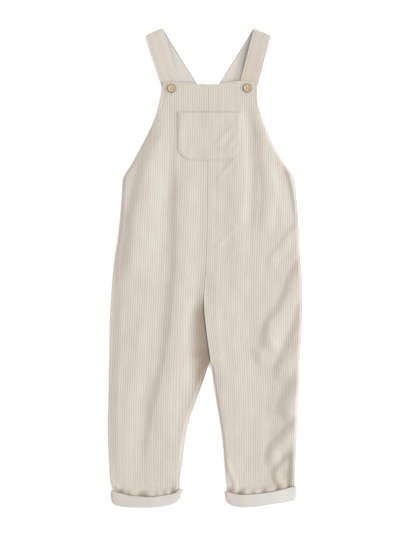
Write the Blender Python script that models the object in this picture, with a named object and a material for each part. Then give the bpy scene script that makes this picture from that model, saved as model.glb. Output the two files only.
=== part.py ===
"""Toddler overalls of wide-wale corduroy, laid flat on their back.

X runs across, Y runs from the leg ends up to the shoulders, Z is up from the
surface they lie on.  Left is -X.  The origin is the middle of the outline, on
that surface.  All sizes below are millimetres; LENGTH_UNIT turns them into
metres when a mesh is made.
"""
from bisect import bisect_right
from collections import namedtuple
import math

import bmesh
import bpy
from mathutils import Vector

LENGTH_UNIT = 0.001

# ---- cloth ---------------------------------------------------------------
WALL = 1.2           # corduroy from its plain back to the bottom of a groove
WALE = 0.6           # how far a wale stands above the groove beside it
WALE_PITCH = 3.3     # one wale and one groove
SEAM = 0.3           # clear space between two pieces that are sewn or touch
INNER_SKIP = 4       # a plain back has one column for this many on the face,
INNER_FULL = 10      # but all of the face's columns, this many, beside each edge
SHARP_ANGLE = math.radians(30)

# ---- outline of the body and legs ------------------------------------------
# One row for each height, from the bib's top down to the crotch.
Body = namedtuple("Body", "y left seam right")
BODY = [
    Body(272.0, -61.9, 4.8, 76.2),
    Body(256.0, -63.8, 4.7, 76.3),
    Body(244.0, -66.0, 4.6, 76.6),
    Body(221.0, -72.2, 4.4, 82.0),
    Body(198.0, -82.4, 4.1, 91.5),
    Body(175.0, -94.3, 3.9, 102.0),
    Body(151.0, -107.5, 3.6, 116.9),
    Body(139.0, -115.3, 3.5, 126.0),
    Body(128.5, -120.2, 3.4, 130.8),
    Body(98.0, -122.1, 3.0, 134.0),
    Body(54.0, -126.2, 2.4, 136.8),
    Body(11.0, -132.6, 1.0, 139.0),
    Body(-19.0, -135.5, -0.8, 141.6),
    Body(-48.0, -137.4, -2.4, 142.1),
    Body(-92.0, -139.6, 1.4, 140.7),
    Body(-135.0, -140.1, 7.4, 138.2),
]
# One row for each height of the legs, from the crotch down into the cuffs.
Legs = namedtuple("Legs", "y left left_inseam right_inseam right")
LEGS = [
    Legs(-135.0, -140.1, 7.4, 7.4, 138.2),
    Legs(-147.0, -140.4, 3.2, 9.9, 137.9),
    Legs(-165.0, -140.5, -2.2, 12.0, 137.8),
    Legs(-194.0, -141.0, -13.0, 16.5, 135.8),
    Legs(-223.0, -142.1, -22.9, 21.4, 134.7),
    Legs(-252.0, -141.8, -28.9, 25.5, 133.5),
    Legs(-281.0, -140.3, -32.3, 28.0, 132.2),
    Legs(-311.0, -138.4, -36.6, 30.8, 130.7),
    Legs(-326.0, -134.2, -37.3, 32.4, 130.8),
    Legs(-350.0, -134.2, -37.3, 32.4, 130.8),
]
CROTCH_Y = BODY[-1].y
SEAM_PULL = 40.0     # how far from the centre seam its curve bends the wales

# Top edge of the bib, a shallow dip between its two corners.
Along = namedtuple("Along", "x y")
BIB_TOP = [
    Along(-61.9, 271.8), Along(-35.0, 270.4), Along(-8.0, 268.2),
    Along(12.0, 267.6), Along(32.0, 270.2), Along(51.5, 272.6),
    Along(68.0, 271.0), Along(76.3, 268.4),
]

# ---- turned-up leg ends ------------------------------------------------------
CUFF_WALL = 1.2
CUFF_LIP = 1.4       # thickness, along Y, of the fold at the bottom
CUFF_SLIT = 0.3      # half of the slit between front and back at the fold
CUFF_STAND_OFF = 0.9  # how far the front rim stands off the leg
CUFF_FLAT_STEPS = 24  # sections along each flat run of a cuff
CUFF_END_STEPS = 6   # and round each of its ends
CUFF_EVEN_SHARE = 0.35  # how evenly they are spaced; the rest crowd to the ends
Cuff = namedtuple("Cuff", "x rim bottom")
CUFF_LEFT = [
    Cuff(-137.3, -324.8, -339.0), Cuff(-132.4, -326.0, -345.4),
    Cuff(-123.7, -328.6, -348.0), Cuff(-106.0, -332.3, -349.8),
    Cuff(-80.0, -333.9, -349.8), Cuff(-60.4, -331.6, -347.9),
    Cuff(-44.8, -328.2, -343.8), Cuff(-37.6, -323.2, -338.4),
    Cuff(-34.0, -322.4, -333.0),
]
CUFF_RIGHT = [
    Cuff(29.2, -325.4, -336.0), Cuff(32.2, -326.4, -342.3),
    Cuff(40.9, -329.0, -347.1), Cuff(56.0, -330.7, -349.6),
    Cuff(76.2, -329.3, -348.4), Cuff(93.9, -327.0, -345.7),
    Cuff(111.7, -323.2, -343.0), Cuff(129.4, -319.2, -339.4),
    Cuff(134.2, -319.0, -335.6),
]

# ---- how high the front lies --------------------------------------------------
BACK_FACE = WALL                      # upper side of the back
STRAP_LEVEL = BACK_FACE + SEAM        # plain side of a strap's front part
BIB_SEAT = STRAP_LEVEL + WALL + WALE + SEAM
BODY_SEAT = BACK_FACE + SEAM
CUFF_SLOT = 0.5 * (WALL + SEAM + WALL + WALE) + SEAM
CUFF_AXIS = CUFF_SLOT + CUFF_WALL     # middle of a cuff above the surface
CUFF_BACK_LIFT = CUFF_WALL + SEAM     # back's underside inside a cuff
CUFF_SEAT = CUFF_BACK_LIFT + WALL + SEAM
STRAP_ZONE_Y = 239.0                  # the bib rests on the straps above this
CUFF_ZONE_Y = -318.0                  # the legs lie in the cuffs below this
EDGE_ROUNDING = 24.0                  # distance over which a side edge drops

# Height of the front's plain back: at the side edges and well inside them.
Rest = namedtuple("Rest", "y rim middle")
REST = [
    Rest(272.0, 3.6, 3.6), Rest(240.0, 3.6, 3.6), Rest(226.0, 2.8, 3.6),
    Rest(206.0, 1.9, 3.7), Rest(180.0, 1.5, 3.9), Rest(128.0, 1.5, 4.2),
    Rest(0.0, 1.5, 4.5), Rest(-135.0, 1.5, 4.4), Rest(-270.0, 1.5, 3.8),
    Rest(-296.0, 2.6, 3.6), Rest(-318.0, 3.0, 3.0), Rest(-350.0, 3.0, 3.0),
]

# Largest folds of the front.  Height is above (ridge) or below (trough) the
# plain lie of the cloth; each runs through its points and dies out sideways
# over its half width.
Fold = namedtuple("Fold", "name path half_width height")
FOLDS = [
    Fold("armhole_ridge_left",
         [(-62, 212), (-80, 150), (-88, 118), (-96, 84), (-103, 40), (-113, -10)], 24, 2.2),
    Fold("beside_pocket_left",
         [(-47, 226), (-52, 167), (-52, 99), (-53, 1), (-60, -60)], 15, -1.6),
    Fold("down_left_leg",
         [(-34, 145), (-34, 45), (-35, -10), (-42, -70), (-49, -145), (-62, -193),
          (-71, -255)], 20, 1.9),
    Fold("crotch_trough", [(-12, -40), (-13, -105), (-12, -165), (-20, -190)], 16, -2.4),
    Fold("crotch_ridge", [(7, -40), (10, -90), (16, -150)], 12, 2.4),
    Fold("bib_sag", [(3, 272), (3, 248)], 22, -0.8),
    Fold("beside_pocket_right", [(49, 226), (49, 168), (48, 99), (50, -22)], 18, 1.3),
    Fold("hollow_right", [(66, 232), (67, 205), (70, 157), (71, 113), (65, 58)], 12, -1.6),
    Fold("armhole_ridge_right", [(86, 205), (92, 157), (96, 106), (88, 52)], 14, 1.6),
    Fold("underarm_crease_right", [(115, 139), (122, 109), (126, 80)], 10, -1.1),
    Fold("hip_ridge_right", [(138, 0), (121, -36), (103, -73), (93, -102), (80, -118)], 15, 2.6),
    Fold("thigh_crease_right", [(139, -62), (125, -104), (112, -143), (104, -172)], 13, 2.0),
    Fold("knee_crease_right", [(137, -166), (119, -196), (109, -216)], 13, 1.9),
    Fold("knee_ridge_right", [(131, -217), (112, -250), (98, -278)], 12, 1.9),
]

# Heights at which the front's columns have a point.
FRONT_ROWS = [
    240.0, 226.5, 209.0, 192.0, 174.5, 157.0, 138.0, 115.0, 92.0, 69.0, 46.0, 23.0, 0.0,
    -23.0, -46.0, -69.0, -92.0, -115.0, -138.0, -161.0, -184.0, -207.0, -230.0, -253.0,
    -275.0, -296.0, -318.0,
]
EDGE_INSET = 11.0    # a column has one more point this far from each end
ROW_CLEARANCE = 5.0  # a row nearer than this to such a point is left out
EDGE_COLUMN_IN = 0.25  # the outermost column lies this far inside the widest point
LAST_COLUMN_CLEAR = 0.4  # least gap before an edge column, as a share of half a pitch
TOP_MARGIN = 4.0     # how far above the bib a column's upper end is sought
HALVINGS = 24        # steps that close in on a column's end

# ---- pocket ---------------------------------------------------------------------
POCKET_LEFT = -40.2
POCKET_RIGHT = 52.7
POCKET_TOP = 226.5
POCKET_BOTTOM = 157.0
POCKET_CORNER = 14.5
POCKET_ROW_CLEARANCE = 1.0  # a row nearer than this to its ends is left out

# ---- back -----------------------------------------------------------------------
BACK_TOP_Y = 243.6
# Armholes of the back, from the straps down to the underarms.
BackArmhole = namedtuple("BackArmhole", "y left right")
BACK_ARMHOLES = [
    BackArmhole(243.6, -27.2, 37.0), BackArmhole(225.0, -32.5, 41.5),
    BackArmhole(200.0, -44.0, 52.5), BackArmhole(175.0, -64.0, 74.0),
    BackArmhole(150.0, -92.0, 104.0), BackArmhole(128.5, -119.7, 130.3),
]
BACK_EDGE_INSET = 0.4                 # the back's sides lie just inside the front's
BACK_RAMP_TOP_Y = -296.0              # the back starts to rise into the cuff here
BACK_RAMP_BOTTOM_Y = -318.0
BACK_HEM_STEPS = 12                   # points along the end of each leg

# ---- straps ---------------------------------------------------------------------
STRAP_WIDTH = 27.0
STRAP_WALES = 8
STRAP_FOLD_RADIUS = 2.6               # of the middle of the wall, at the shoulder
STRAP_FRONT_LENGTH = 99.0             # from the fold to the end behind the bib
STRAP_SETTLE_FROM = 22.0              # the front part starts to sink this far down
STRAP_SETTLE = 52.0                   # and sinks onto the back over this length
STRAP_FRONT_STEPS = 8
STRAP_TURN_STEPS = 6
STRAP_BACK_STEPS = 5
# fold_x, fold_y: middle of the outermost line of the fold; angles in degrees
# from straight down, positive towards +X.
Strap = namedtuple("Strap", "name fold_x fold_y front_angle fold_angle")
STRAPS = [
    Strap("strap_left", -75.0, 344.2, 17.5, 24.65),
    Strap("strap_right", 84.0, 344.0, -14.7, -23.3),
]

# ---- buttons --------------------------------------------------------------------
BUTTON_RADIUS = 6.25
BUTTON_THICKNESS = 2.4
BUTTON_DISH = 0.7                     # depth of the middle below the rim
BUTTON_RIM = 1.5                      # width of the raised rim
BUTTON_LOWER_EDGE = 0.85              # how far its lower edge is rounded
BUTTON_UPPER_EDGE = 0.6               # and its upper edge
BUTTON_SLOPE = 0.4                    # of the dish's side, to either side of the rim
BUTTON_SPOTS = 12                     # places where the cloth under it is measured
BUTTON_HOLE_RADIUS = 0.7
BUTTON_HOLE_OFFSET = 1.35             # of each of the four holes, along X and Y
BUTTON_SIDES = 28
HOLE_SIDES = 8
Button = namedtuple("Button", "name x y")
BUTTONS = [Button("button_left", -48.8, 261.3), Button("button_right", 61.5, 261.8)]


# ---- small mathematics ------------------------------------------------------------
def smooth(t):
    """0 to 1 with level ends."""
    t = min(1.0, max(0.0, t))
    return t * t * (3.0 - 2.0 * t)


def curve(table, at, key, value):
    """Monotone cubic through a table's rows, held level beyond its ends."""
    rows = sorted(table, key=lambda row: getattr(row, key))
    xs = [getattr(row, key) for row in rows]
    ys = [getattr(row, value) for row in rows]
    if at <= xs[0]:
        return ys[0]
    if at >= xs[-1]:
        return ys[-1]
    slopes = [(ys[i + 1] - ys[i]) / (xs[i + 1] - xs[i]) for i in range(len(xs) - 1)]
    tangents = [slopes[0]]
    for before, after in zip(slopes, slopes[1:]):
        both = before * after
        tangents.append(2.0 * both / (before + after) if both > 0.0 else 0.0)
    tangents.append(slopes[-1])
    i = bisect_right(xs, at) - 1
    step = xs[i + 1] - xs[i]
    t = (at - xs[i]) / step
    return (ys[i] * (1 + 2 * t) * (1 - t) ** 2 + step * tangents[i] * t * (1 - t) ** 2
            + ys[i + 1] * t * t * (3 - 2 * t) + step * tangents[i + 1] * t * t * (t - 1))


def distance_to_path(x, y, path):
    """Shortest distance in the XY plane from a point to a chain of points."""
    best = math.inf
    for (ax, ay), (bx, by) in zip(path, path[1:]):
        along_x, along_y = bx - ax, by - ay
        t = ((x - ax) * along_x + (y - ay) * along_y) / (along_x ** 2 + along_y ** 2)
        t = min(1.0, max(0.0, t))
        best = min(best, math.hypot(x - ax - t * along_x, y - ay - t * along_y))
    return best


# ---- outline ------------------------------------------------------------------------
def side_x(side, y):
    """X of the outer edge; side is -1 for left and 1 for right."""
    table = BODY if y >= CROTCH_Y else LEGS
    return curve(table, y, "y", "left" if side < 0 else "right")


def inseam_x(side, y):
    """X of a leg's inner edge, below the crotch."""
    return curve(LEGS, y, "y", "left_inseam" if side < 0 else "right_inseam")


def seam_x(y):
    """X of the centre seam, carried straight on below the crotch."""
    return curve(BODY, y, "y", "seam")


def column_x(u, y):
    """X at height y of the wale that lies u from the centre seam."""
    pull = max(0.0, 1.0 - abs(u) / SEAM_PULL)
    return u + seam_x(y) * pull


def hem_y(side, x):
    """Y at which a leg's cloth ends, inside its cuff."""
    table = CUFF_LEFT if side < 0 else CUFF_RIGHT
    return curve(table, x, "x", "bottom") + CUFF_LIP + SEAM


def in_panel(side, u, y):
    """True where the front half on this side has cloth."""
    x = column_x(u, y)
    if (x - side_x(side, y)) * side > 0.0:
        return False
    if y < CROTCH_Y and (x - inseam_x(side, y)) * side < 0.0:
        return False
    return hem_y(side, x) <= y <= curve(BIB_TOP, x, "x", "y")


def column_end(side, u, start, step):
    """Y of the first cloth met when a column is walked from start by step."""
    y = start
    while not in_panel(side, u, y):
        y += step
        if abs(y - start) > BODY[0].y - LEGS[-1].y:
            return None
    outside, inside = y - step, y
    for _ in range(HALVINGS):
        middle = 0.5 * (outside + inside)
        if in_panel(side, u, middle):
            inside = middle
        else:
            outside = middle
    return inside


# ---- lie of the front -----------------------------------------------------------------
def edge_distance(x, y):
    """Distance inwards from the nearest side edge or inseam."""
    side = -1 if x < seam_x(y) else 1
    edges = [(side_x(side, y), side_x(side, y - 1.0), -side)]
    if y < CROTCH_Y:
        edges.append((inseam_x(side, y), inseam_x(side, y - 1.0), side))
    return min((x - here) * inwards / math.hypot(1.0, here - below)
               for here, below, inwards in edges)


def seat(y):
    """Lowest height at which the front clears what lies under it."""
    if y >= STRAP_ZONE_Y:
        return BIB_SEAT
    return CUFF_SEAT if y <= CUFF_ZONE_Y else BODY_SEAT


def lie(x, y):
    """Height of the front's plain back."""
    rim = curve(REST, y, "y", "rim")
    middle = curve(REST, y, "y", "middle")
    height = rim + (middle - rim) * smooth(edge_distance(x, y) / EDGE_ROUNDING)
    if y > CUFF_ZONE_Y:
        for fold in FOLDS:
            reach = distance_to_path(x, y, fold.path) / fold.half_width
            if reach < 1.0:
                height += fold.height * (1.0 - reach * reach) ** 2
    return max(height, seat(y))


def lie_on_rows(u, y):
    """Height of the front's plain back on the straight runs between its rows."""
    rows = sorted(FRONT_ROWS)
    i = min(max(bisect_right(rows, y) - 1, 0), len(rows) - 2)
    t = (y - rows[i]) / (rows[i + 1] - rows[i])
    low = lie(column_x(u, rows[i]), rows[i])
    high = lie(column_x(u, rows[i + 1]), rows[i + 1])
    return low + (high - low) * t


def wale_height(u):
    """0 in a groove, WALE on a crest; the centre seam lies in a groove."""
    from_groove = abs(u / WALE_PITCH - round(u / WALE_PITCH))
    return WALE * 2.0 * from_groove


# ---- walls of cloth ------------------------------------------------------------------
Column = namedtuple("Column", "u rows")


def zip_chains(first, second):
    """Triangles between two chains of (position, vertex) that run the same way."""
    i = j = 0
    triangles = []
    while i < len(first) - 1 or j < len(second) - 1:
        go_first = j == len(second) - 1
        if i < len(first) - 1 and not go_first:
            go_first = (first[i + 1][0] + first[i][0]) <= (second[j + 1][0] + second[j][0])
        if go_first:
            triangles.append((first[i][1], first[i + 1][1], second[j][1]))
            i += 1
        else:
            triangles.append((first[i][1], second[j + 1][1], second[j][1]))
            j += 1
    return triangles


def wall_of_cloth(name, columns, place):
    """Closed wall over columns of points.

    place(u, row, outer) gives a point of the face, or of the plain back, in
    millimetres.  The back keeps only some of the columns.
    """
    mesh = bmesh.new()

    def chain(column, outer):
        return [(row, mesh.verts.new(Vector(place(column.u, row, outer)) * LENGTH_UNIT))
                for row in column.rows]

    last = len(columns) - 1
    kept = [i for i in range(last + 1)
            if i % INNER_SKIP == 0 or min(i, last - i) < INNER_FULL]
    face = [chain(column, True) for column in columns]
    back = [chain(columns[i], False) for i in kept]
    triangles = []
    for chains in (face, back):
        for left, right in zip(chains, chains[1:]):
            triangles += zip_chains(left, right)
    for i, j in ((0, 0), (-1, -1)):
        triangles += zip_chains(face[i], back[j])
    for end in (0, -1):
        face_edge = [(columns[i].u, face[i][end][1]) for i in range(len(columns))]
        back_edge = [(columns[i].u, back[k][end][1]) for k, i in enumerate(kept)]
        triangles += zip_chains(face_edge, back_edge)
    for corners in triangles:
        mesh.faces.new(corners)
    return finish(name, mesh, CLOTH_FACE)


def finish(name, mesh, material):
    """Turn a bmesh into a named object with its faces pointing out."""
    bmesh.ops.recalc_face_normals(mesh, faces=mesh.faces)
    data = bpy.data.meshes.new(name)
    mesh.to_mesh(data)
    mesh.free()
    data.materials.append(material)
    data.shade_smooth()
    data.set_sharp_from_angle(angle=SHARP_ANGLE)
    thing = bpy.data.objects.new(name, data)
    bpy.context.scene.collection.objects.link(thing)
    return thing


def make_material(name, colour, roughness):
    """Principled material with one colour."""
    material = bpy.data.materials.new(name)
    material.use_nodes = True
    shader = material.node_tree.nodes["Principled BSDF"]
    shader.inputs["Base Color"].default_value = (*colour, 1.0)
    shader.inputs["Roughness"].default_value = roughness
    shader.inputs["Metallic"].default_value = 0.0
    return material


# ---- front ---------------------------------------------------------------------------
def column_rows(low, high, rows):
    """Ends of a column, a point inset from each, and the rows between them."""
    if high - low < 3.0 * EDGE_INSET:
        return [low, high]
    low_inset, high_inset = low + EDGE_INSET, high - EDGE_INSET
    between = [row for row in sorted(rows)
               if low_inset + ROW_CLEARANCE < row < high_inset - ROW_CLEARANCE]
    return [low, low_inset, *between, high_inset, high]


def widest_column(side):
    """Distance from the centre seam of the outermost point of one half."""
    heights = range(int(LEGS[-1].y), int(BODY[0].y))
    return max(side * side_x(side, y) for y in heights)


def front_columns(side):
    """Columns of one front half, from its seam to its outermost edge."""
    half_pitch = 0.5 * WALE_PITCH
    widest = widest_column(side) - EDGE_COLUMN_IN
    count = int((widest - LAST_COLUMN_CLEAR * half_pitch) / half_pitch)
    distances = [0.5 * SEAM, *(half_pitch * k for k in range(1, count + 1)), widest]
    columns = []
    for distance in distances:
        u = side * distance
        low = column_end(side, u, LEGS[-1].y, 1.0)
        high = column_end(side, u, BODY[0].y + TOP_MARGIN, -1.0)
        columns.append(Column(u, column_rows(low, high, FRONT_ROWS)))
    return sorted(columns)


def make_front(name, side):
    def place(u, y, outer):
        x = column_x(u, y)
        height = lie(x, y)
        return x, y, height + (WALL + wale_height(u) if outer else 0.0)

    return wall_of_cloth(name, front_columns(side), place)


# ---- pocket --------------------------------------------------------------------------
def pocket_low(x):
    """Y of the pocket's lower edge, round at both corners."""
    from_side = min(x - POCKET_LEFT, POCKET_RIGHT - x)
    if from_side >= POCKET_CORNER:
        return POCKET_BOTTOM
    across = POCKET_CORNER - max(0.0, from_side)
    return POCKET_BOTTOM + POCKET_CORNER - math.sqrt(POCKET_CORNER ** 2 - across ** 2)


def make_pocket():
    """Patch made from the front's own points, moved out by one wall."""
    middle_y = 0.5 * (POCKET_TOP + POCKET_BOTTOM)
    left = POCKET_LEFT - seam_x(middle_y) * max(0.0, 1.0 - abs(POCKET_LEFT) / SEAM_PULL)
    right = POCKET_RIGHT
    half_pitch = 0.5 * WALE_PITCH
    clear = LAST_COLUMN_CLEAR * half_pitch
    inside = [half_pitch * k for k in range(int(left / half_pitch), int(right / half_pitch) + 1)
              if left + clear < half_pitch * k < right - clear]
    columns = []
    for u in [left, *inside, right]:
        low = pocket_low(column_x(u, middle_y))
        between = [row for row in sorted(FRONT_ROWS)
                   if low + POCKET_ROW_CLEARANCE < row < POCKET_TOP - POCKET_ROW_CLEARANCE]
        columns.append(Column(u, [low, *between, POCKET_TOP]))

    def place(u, y, outer):
        height = lie_on_rows(u, y) + WALL + WALE + SEAM
        return column_x(u, y), y, height + (WALL + wale_height(u) if outer else 0.0)

    return wall_of_cloth("pocket", columns, place)


# ---- back ----------------------------------------------------------------------------
def back_outline(side):
    """Corner points of one back half, in order."""
    edge = [(side_x(side, row.y) - side * BACK_EDGE_INSET, row.y)
            for row in BODY if row.y < BACK_ARMHOLES[-1].y]
    legs = [(side_x(side, row.y) - side * BACK_EDGE_INSET, row.y) for row in LEGS[1:-1]]
    inseam = [(inseam_x(side, row.y) + side * BACK_EDGE_INSET, row.y)
              for row in reversed(LEGS[1:-1])]
    outer_x, inner_x = legs[-1][0], inseam[0][0]
    hem = []
    for k in range(BACK_HEM_STEPS + 1):
        x = outer_x + (inner_x - outer_x) * k / BACK_HEM_STEPS
        hem.append((x, hem_y(side, x)))
    seam = [(seam_x(row.y) + side * 0.5 * SEAM, row.y)
            for row in reversed(BODY) if row.y < BACK_TOP_Y]
    top = [(seam_x(BACK_TOP_Y) + side * 0.5 * SEAM, BACK_TOP_Y)]
    armhole = [(curve(BACK_ARMHOLES, row.y, "y", "left" if side < 0 else "right"), row.y)
               for row in BACK_ARMHOLES]
    return armhole + edge + legs + hem + inseam + seam + top


def back_lift(y):
    """Height of the back's underside: flat, but lifted inside the cuffs."""
    run = BACK_RAMP_TOP_Y - BACK_RAMP_BOTTOM_Y
    return CUFF_BACK_LIFT * min(1.0, max(0.0, (BACK_RAMP_TOP_Y - y) / run))


def make_back(name, side):
    mesh = bmesh.new()
    corners = [mesh.verts.new((x, y, 0.0)) for x, y in back_outline(side)]
    plate = mesh.faces.new(corners)
    walls = bmesh.ops.extrude_face_region(mesh, geom=[plate])
    raised = [item for item in walls["geom"] if isinstance(item, bmesh.types.BMVert)]
    bmesh.ops.translate(mesh, verts=raised, vec=(0.0, 0.0, WALL))
    for level in (BACK_RAMP_TOP_Y, BACK_RAMP_BOTTOM_Y):
        everything = [*mesh.verts, *mesh.edges, *mesh.faces]
        bmesh.ops.bisect_plane(mesh, geom=everything, dist=1e-4,
                               plane_co=(0.0, level, 0.0), plane_no=(0.0, 1.0, 0.0))
    for vertex in mesh.verts:
        vertex.co.z += back_lift(vertex.co.y)
    bmesh.ops.triangulate(mesh, faces=mesh.faces)
    bmesh.ops.scale(mesh, verts=mesh.verts, vec=(LENGTH_UNIT,) * 3)
    return finish(name, mesh, CLOTH_BACK)


# ---- straps --------------------------------------------------------------------------
def make_strap(strap):
    """One strip: down behind the bib, up, over the shoulder and down to the back."""
    radius = STRAP_FOLD_RADIUS
    outermost = radius + 0.5 * WALL
    front = math.radians(strap.front_angle)
    fold = math.radians(strap.fold_angle)
    along = Vector((math.sin(front), -math.cos(front)))
    across = Vector((math.cos(front), math.sin(front)))
    normal = Vector((math.sin(fold), -math.cos(fold)))
    origin = Vector((strap.fold_x, strap.fold_y)) + normal * outermost
    turn = math.pi * radius

    def length_at(t, beyond):
        """Distance down the strip at which it lies `beyond` past the fold line."""
        return (-beyond - t * across.dot(normal)) / along.dot(normal)

    def reflected(t, beyond):
        flat = along * length_at(t, beyond) + across * t
        return origin + flat + normal * (2.0 * beyond - turn)

    def place(t, beyond, outer):
        offset = 0.5 * WALL if outer else -0.5 * WALL
        if outer:
            fade = 1.0 - smooth(beyond / turn)
            offset += WALE * fade * (1.0 - abs(2.0 * ((t / pitch) % 1.0) - 1.0))
        level = STRAP_LEVEL - (outermost + radius - 0.5 * WALL)
        settle = level * smooth((-beyond - STRAP_SETTLE_FROM) / STRAP_SETTLE)
        if beyond <= 0.0:
            spot = origin + along * length_at(t, beyond) + across * t
            height = outermost + radius + offset + settle
        elif beyond < turn:
            angle = beyond / radius
            spot = origin + along * length_at(t, beyond) + across * t + normal * beyond
            spot -= normal * (radius + offset) * math.sin(angle)
            height = outermost + (radius + offset) * math.cos(angle)
        else:
            spot = reflected(t, beyond)
            height = outermost - radius - offset
        return spot.x, spot.y, height

    def back_end(t):
        """How far past the fold this column meets the top of the back."""
        near, far = reflected(t, turn), reflected(t, turn + STRAP_FRONT_LENGTH)
        share = (near.y - BACK_TOP_Y - SEAM) / (near.y - far.y)
        return turn + STRAP_FRONT_LENGTH * share

    front_rows = [-STRAP_FRONT_LENGTH * k / STRAP_FRONT_STEPS
                  for k in range(STRAP_FRONT_STEPS, 0, -1)]
    turn_rows = [turn * k / STRAP_TURN_STEPS for k in range(STRAP_TURN_STEPS + 1)]
    pitch = STRAP_WIDTH / STRAP_WALES
    columns = []
    for k in range(2 * STRAP_WALES + 1):
        t = 0.5 * pitch * k - 0.5 * STRAP_WIDTH
        reach = back_end(t) - turn
        back_rows = [turn + reach * j / STRAP_BACK_STEPS
                     for j in range(1, STRAP_BACK_STEPS + 1)]
        columns.append(Column(t, front_rows + turn_rows + back_rows))
    return wall_of_cloth(strap.name, columns, place)


# ---- cuffs ---------------------------------------------------------------------------
def cuff_profile(flare):
    """Section of a cuff: distance out from its axis, height above the fold, share
    of the rim's height.  flare is how far this section's rim stands off."""
    outer, inner = CUFF_SLOT + CUFF_WALL, CUFF_SLOT
    half_flare, half_wall = 0.5 * flare, 0.5 * CUFF_WALL
    return [
        (outer + flare, 0.0, 1.0), (outer + half_flare, 0.0, 0.5),
        (outer, CUFF_LIP + half_wall, 0.0), (outer - 0.4 * CUFF_WALL, half_wall, 0.0),
        (inner, 0.0, 0.0), (CUFF_SLIT + half_wall, 0.0, 0.0), (CUFF_SLIT, half_wall, 0.0),
        (CUFF_SLIT, CUFF_LIP, 0.0), (inner, CUFF_LIP, 0.0),
        (inner + half_flare, 0.0, 0.5), (inner + flare, 0.0, 1.0),
    ]


def cuff_path(first, last):
    """Middle and direction of each section round a flattened ring."""
    quarter = 0.5 * math.pi
    flats = [CUFF_EVEN_SHARE * k / CUFF_FLAT_STEPS
             + (1.0 - CUFF_EVEN_SHARE) * smooth(k / CUFF_FLAT_STEPS)
             for k in range(CUFF_FLAT_STEPS)]
    turns = [math.pi * k / CUFF_END_STEPS for k in range(CUFF_END_STEPS)]
    path = [(first + (last - first) * share, quarter) for share in flats]
    path += [(last, quarter - turn) for turn in turns]
    path += [(last + (first - last) * share, -quarter) for share in flats]
    path += [(first, -quarter - turn) for turn in turns]
    return path


def make_cuff(name, table):
    """Flattened ring round a leg's end: outer wall, fold and the lip it ends in."""
    reach = CUFF_SLOT + CUFF_WALL

    def section(centre_x, direction):
        points = []
        flare = CUFF_STAND_OFF * max(0.0, math.sin(direction))
        for out, above, share in cuff_profile(flare):
            x = centre_x + out * math.cos(direction)
            z = CUFF_AXIS + out * math.sin(direction)
            rim = curve(table, x, "x", "rim")
            bottom = curve(table, x, "x", "bottom")
            points.append(Vector((x, bottom + above + (rim - bottom) * share, z)))
        return points

    mesh = bmesh.new()
    path = cuff_path(table[0].x + reach, table[-1].x - reach)
    rings = [[mesh.verts.new(point * LENGTH_UNIT) for point in section(x, direction)]
             for x, direction in path]
    for here, after in zip(rings, rings[1:] + rings[:1]):
        for k in range(len(here)):
            m = (k + 1) % len(here)
            mesh.faces.new((here[k], here[m], after[m], after[k]))
    bmesh.ops.triangulate(mesh, faces=mesh.faces)
    return finish(name, mesh, CLOTH_BACK)


# ---- buttons -------------------------------------------------------------------------
def bib_top_under(x, y, radius):
    """Highest crest of the bib under a round piece."""
    angles = [math.tau * k / BUTTON_SPOTS for k in range(BUTTON_SPOTS)]
    spots = [(x, y)] + [(x + radius * math.cos(a), y + radius * math.sin(a)) for a in angles]
    return max(lie(px, py) for px, py in spots) + WALL + WALE


def make_button(button):
    """Turned disc with a dished middle, cut by four holes."""
    base = bib_top_under(button.x, button.y, BUTTON_RADIUS) + SEAM
    inner = BUTTON_RADIUS - BUTTON_RIM
    floor = BUTTON_THICKNESS - BUTTON_DISH
    profile = [(BUTTON_RADIUS - BUTTON_LOWER_EDGE, 0.0), (BUTTON_RADIUS, BUTTON_LOWER_EDGE),
               (BUTTON_RADIUS, BUTTON_THICKNESS - BUTTON_UPPER_EDGE),
               (BUTTON_RADIUS - BUTTON_UPPER_EDGE, BUTTON_THICKNESS),
               (inner + BUTTON_SLOPE, BUTTON_THICKNESS), (inner - BUTTON_SLOPE, floor)]
    mesh = bmesh.new()
    rings = []
    for radius, height in profile:
        rings.append([mesh.verts.new((radius * math.cos(a), radius * math.sin(a), height))
                      for a in (math.tau * k / BUTTON_SIDES for k in range(BUTTON_SIDES))])
    for low, high in zip(rings, rings[1:]):
        for k in range(BUTTON_SIDES):
            m = (k + 1) % BUTTON_SIDES
            mesh.faces.new((low[k], low[m], high[m], high[k]))
    mesh.faces.new(rings[0])
    mesh.faces.new(rings[-1])
    bmesh.ops.scale(mesh, verts=mesh.verts, vec=(LENGTH_UNIT,) * 3)
    disc = finish(button.name, mesh, WOOD)
    disc.location = Vector((button.x, button.y, base)) * LENGTH_UNIT

    holes = bmesh.new()
    for across in (-1, 1):
        for along in (-1, 1):
            made = bmesh.ops.create_cone(
                holes, cap_ends=True, segments=HOLE_SIDES, depth=4.0 * BUTTON_THICKNESS,
                radius1=BUTTON_HOLE_RADIUS, radius2=BUTTON_HOLE_RADIUS)
            shift = (across * BUTTON_HOLE_OFFSET, along * BUTTON_HOLE_OFFSET, 0.0)
            bmesh.ops.translate(holes, verts=made["verts"], vec=shift)
    bmesh.ops.scale(holes, verts=holes.verts, vec=(LENGTH_UNIT,) * 3)
    cutter = finish(button.name + "_holes", holes, WOOD)
    cutter.parent = disc
    cutter.hide_render = True
    cutter.display_type = "WIRE"
    cut = disc.modifiers.new("thread_holes", "BOOLEAN")
    cut.operation = "DIFFERENCE"
    cut.solver = "EXACT"
    cut.object = cutter
    return disc


# ---- the model -----------------------------------------------------------------------
for thing in list(bpy.data.objects):
    bpy.data.objects.remove(thing, do_unlink=True)

CLOTH_FACE = make_material("corduroy", (0.67, 0.61, 0.53), 0.9)
CLOTH_BACK = make_material("corduroy_back", (0.76, 0.73, 0.67), 0.9)
WOOD = make_material("wood", (0.55, 0.44, 0.29), 0.55)

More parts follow.
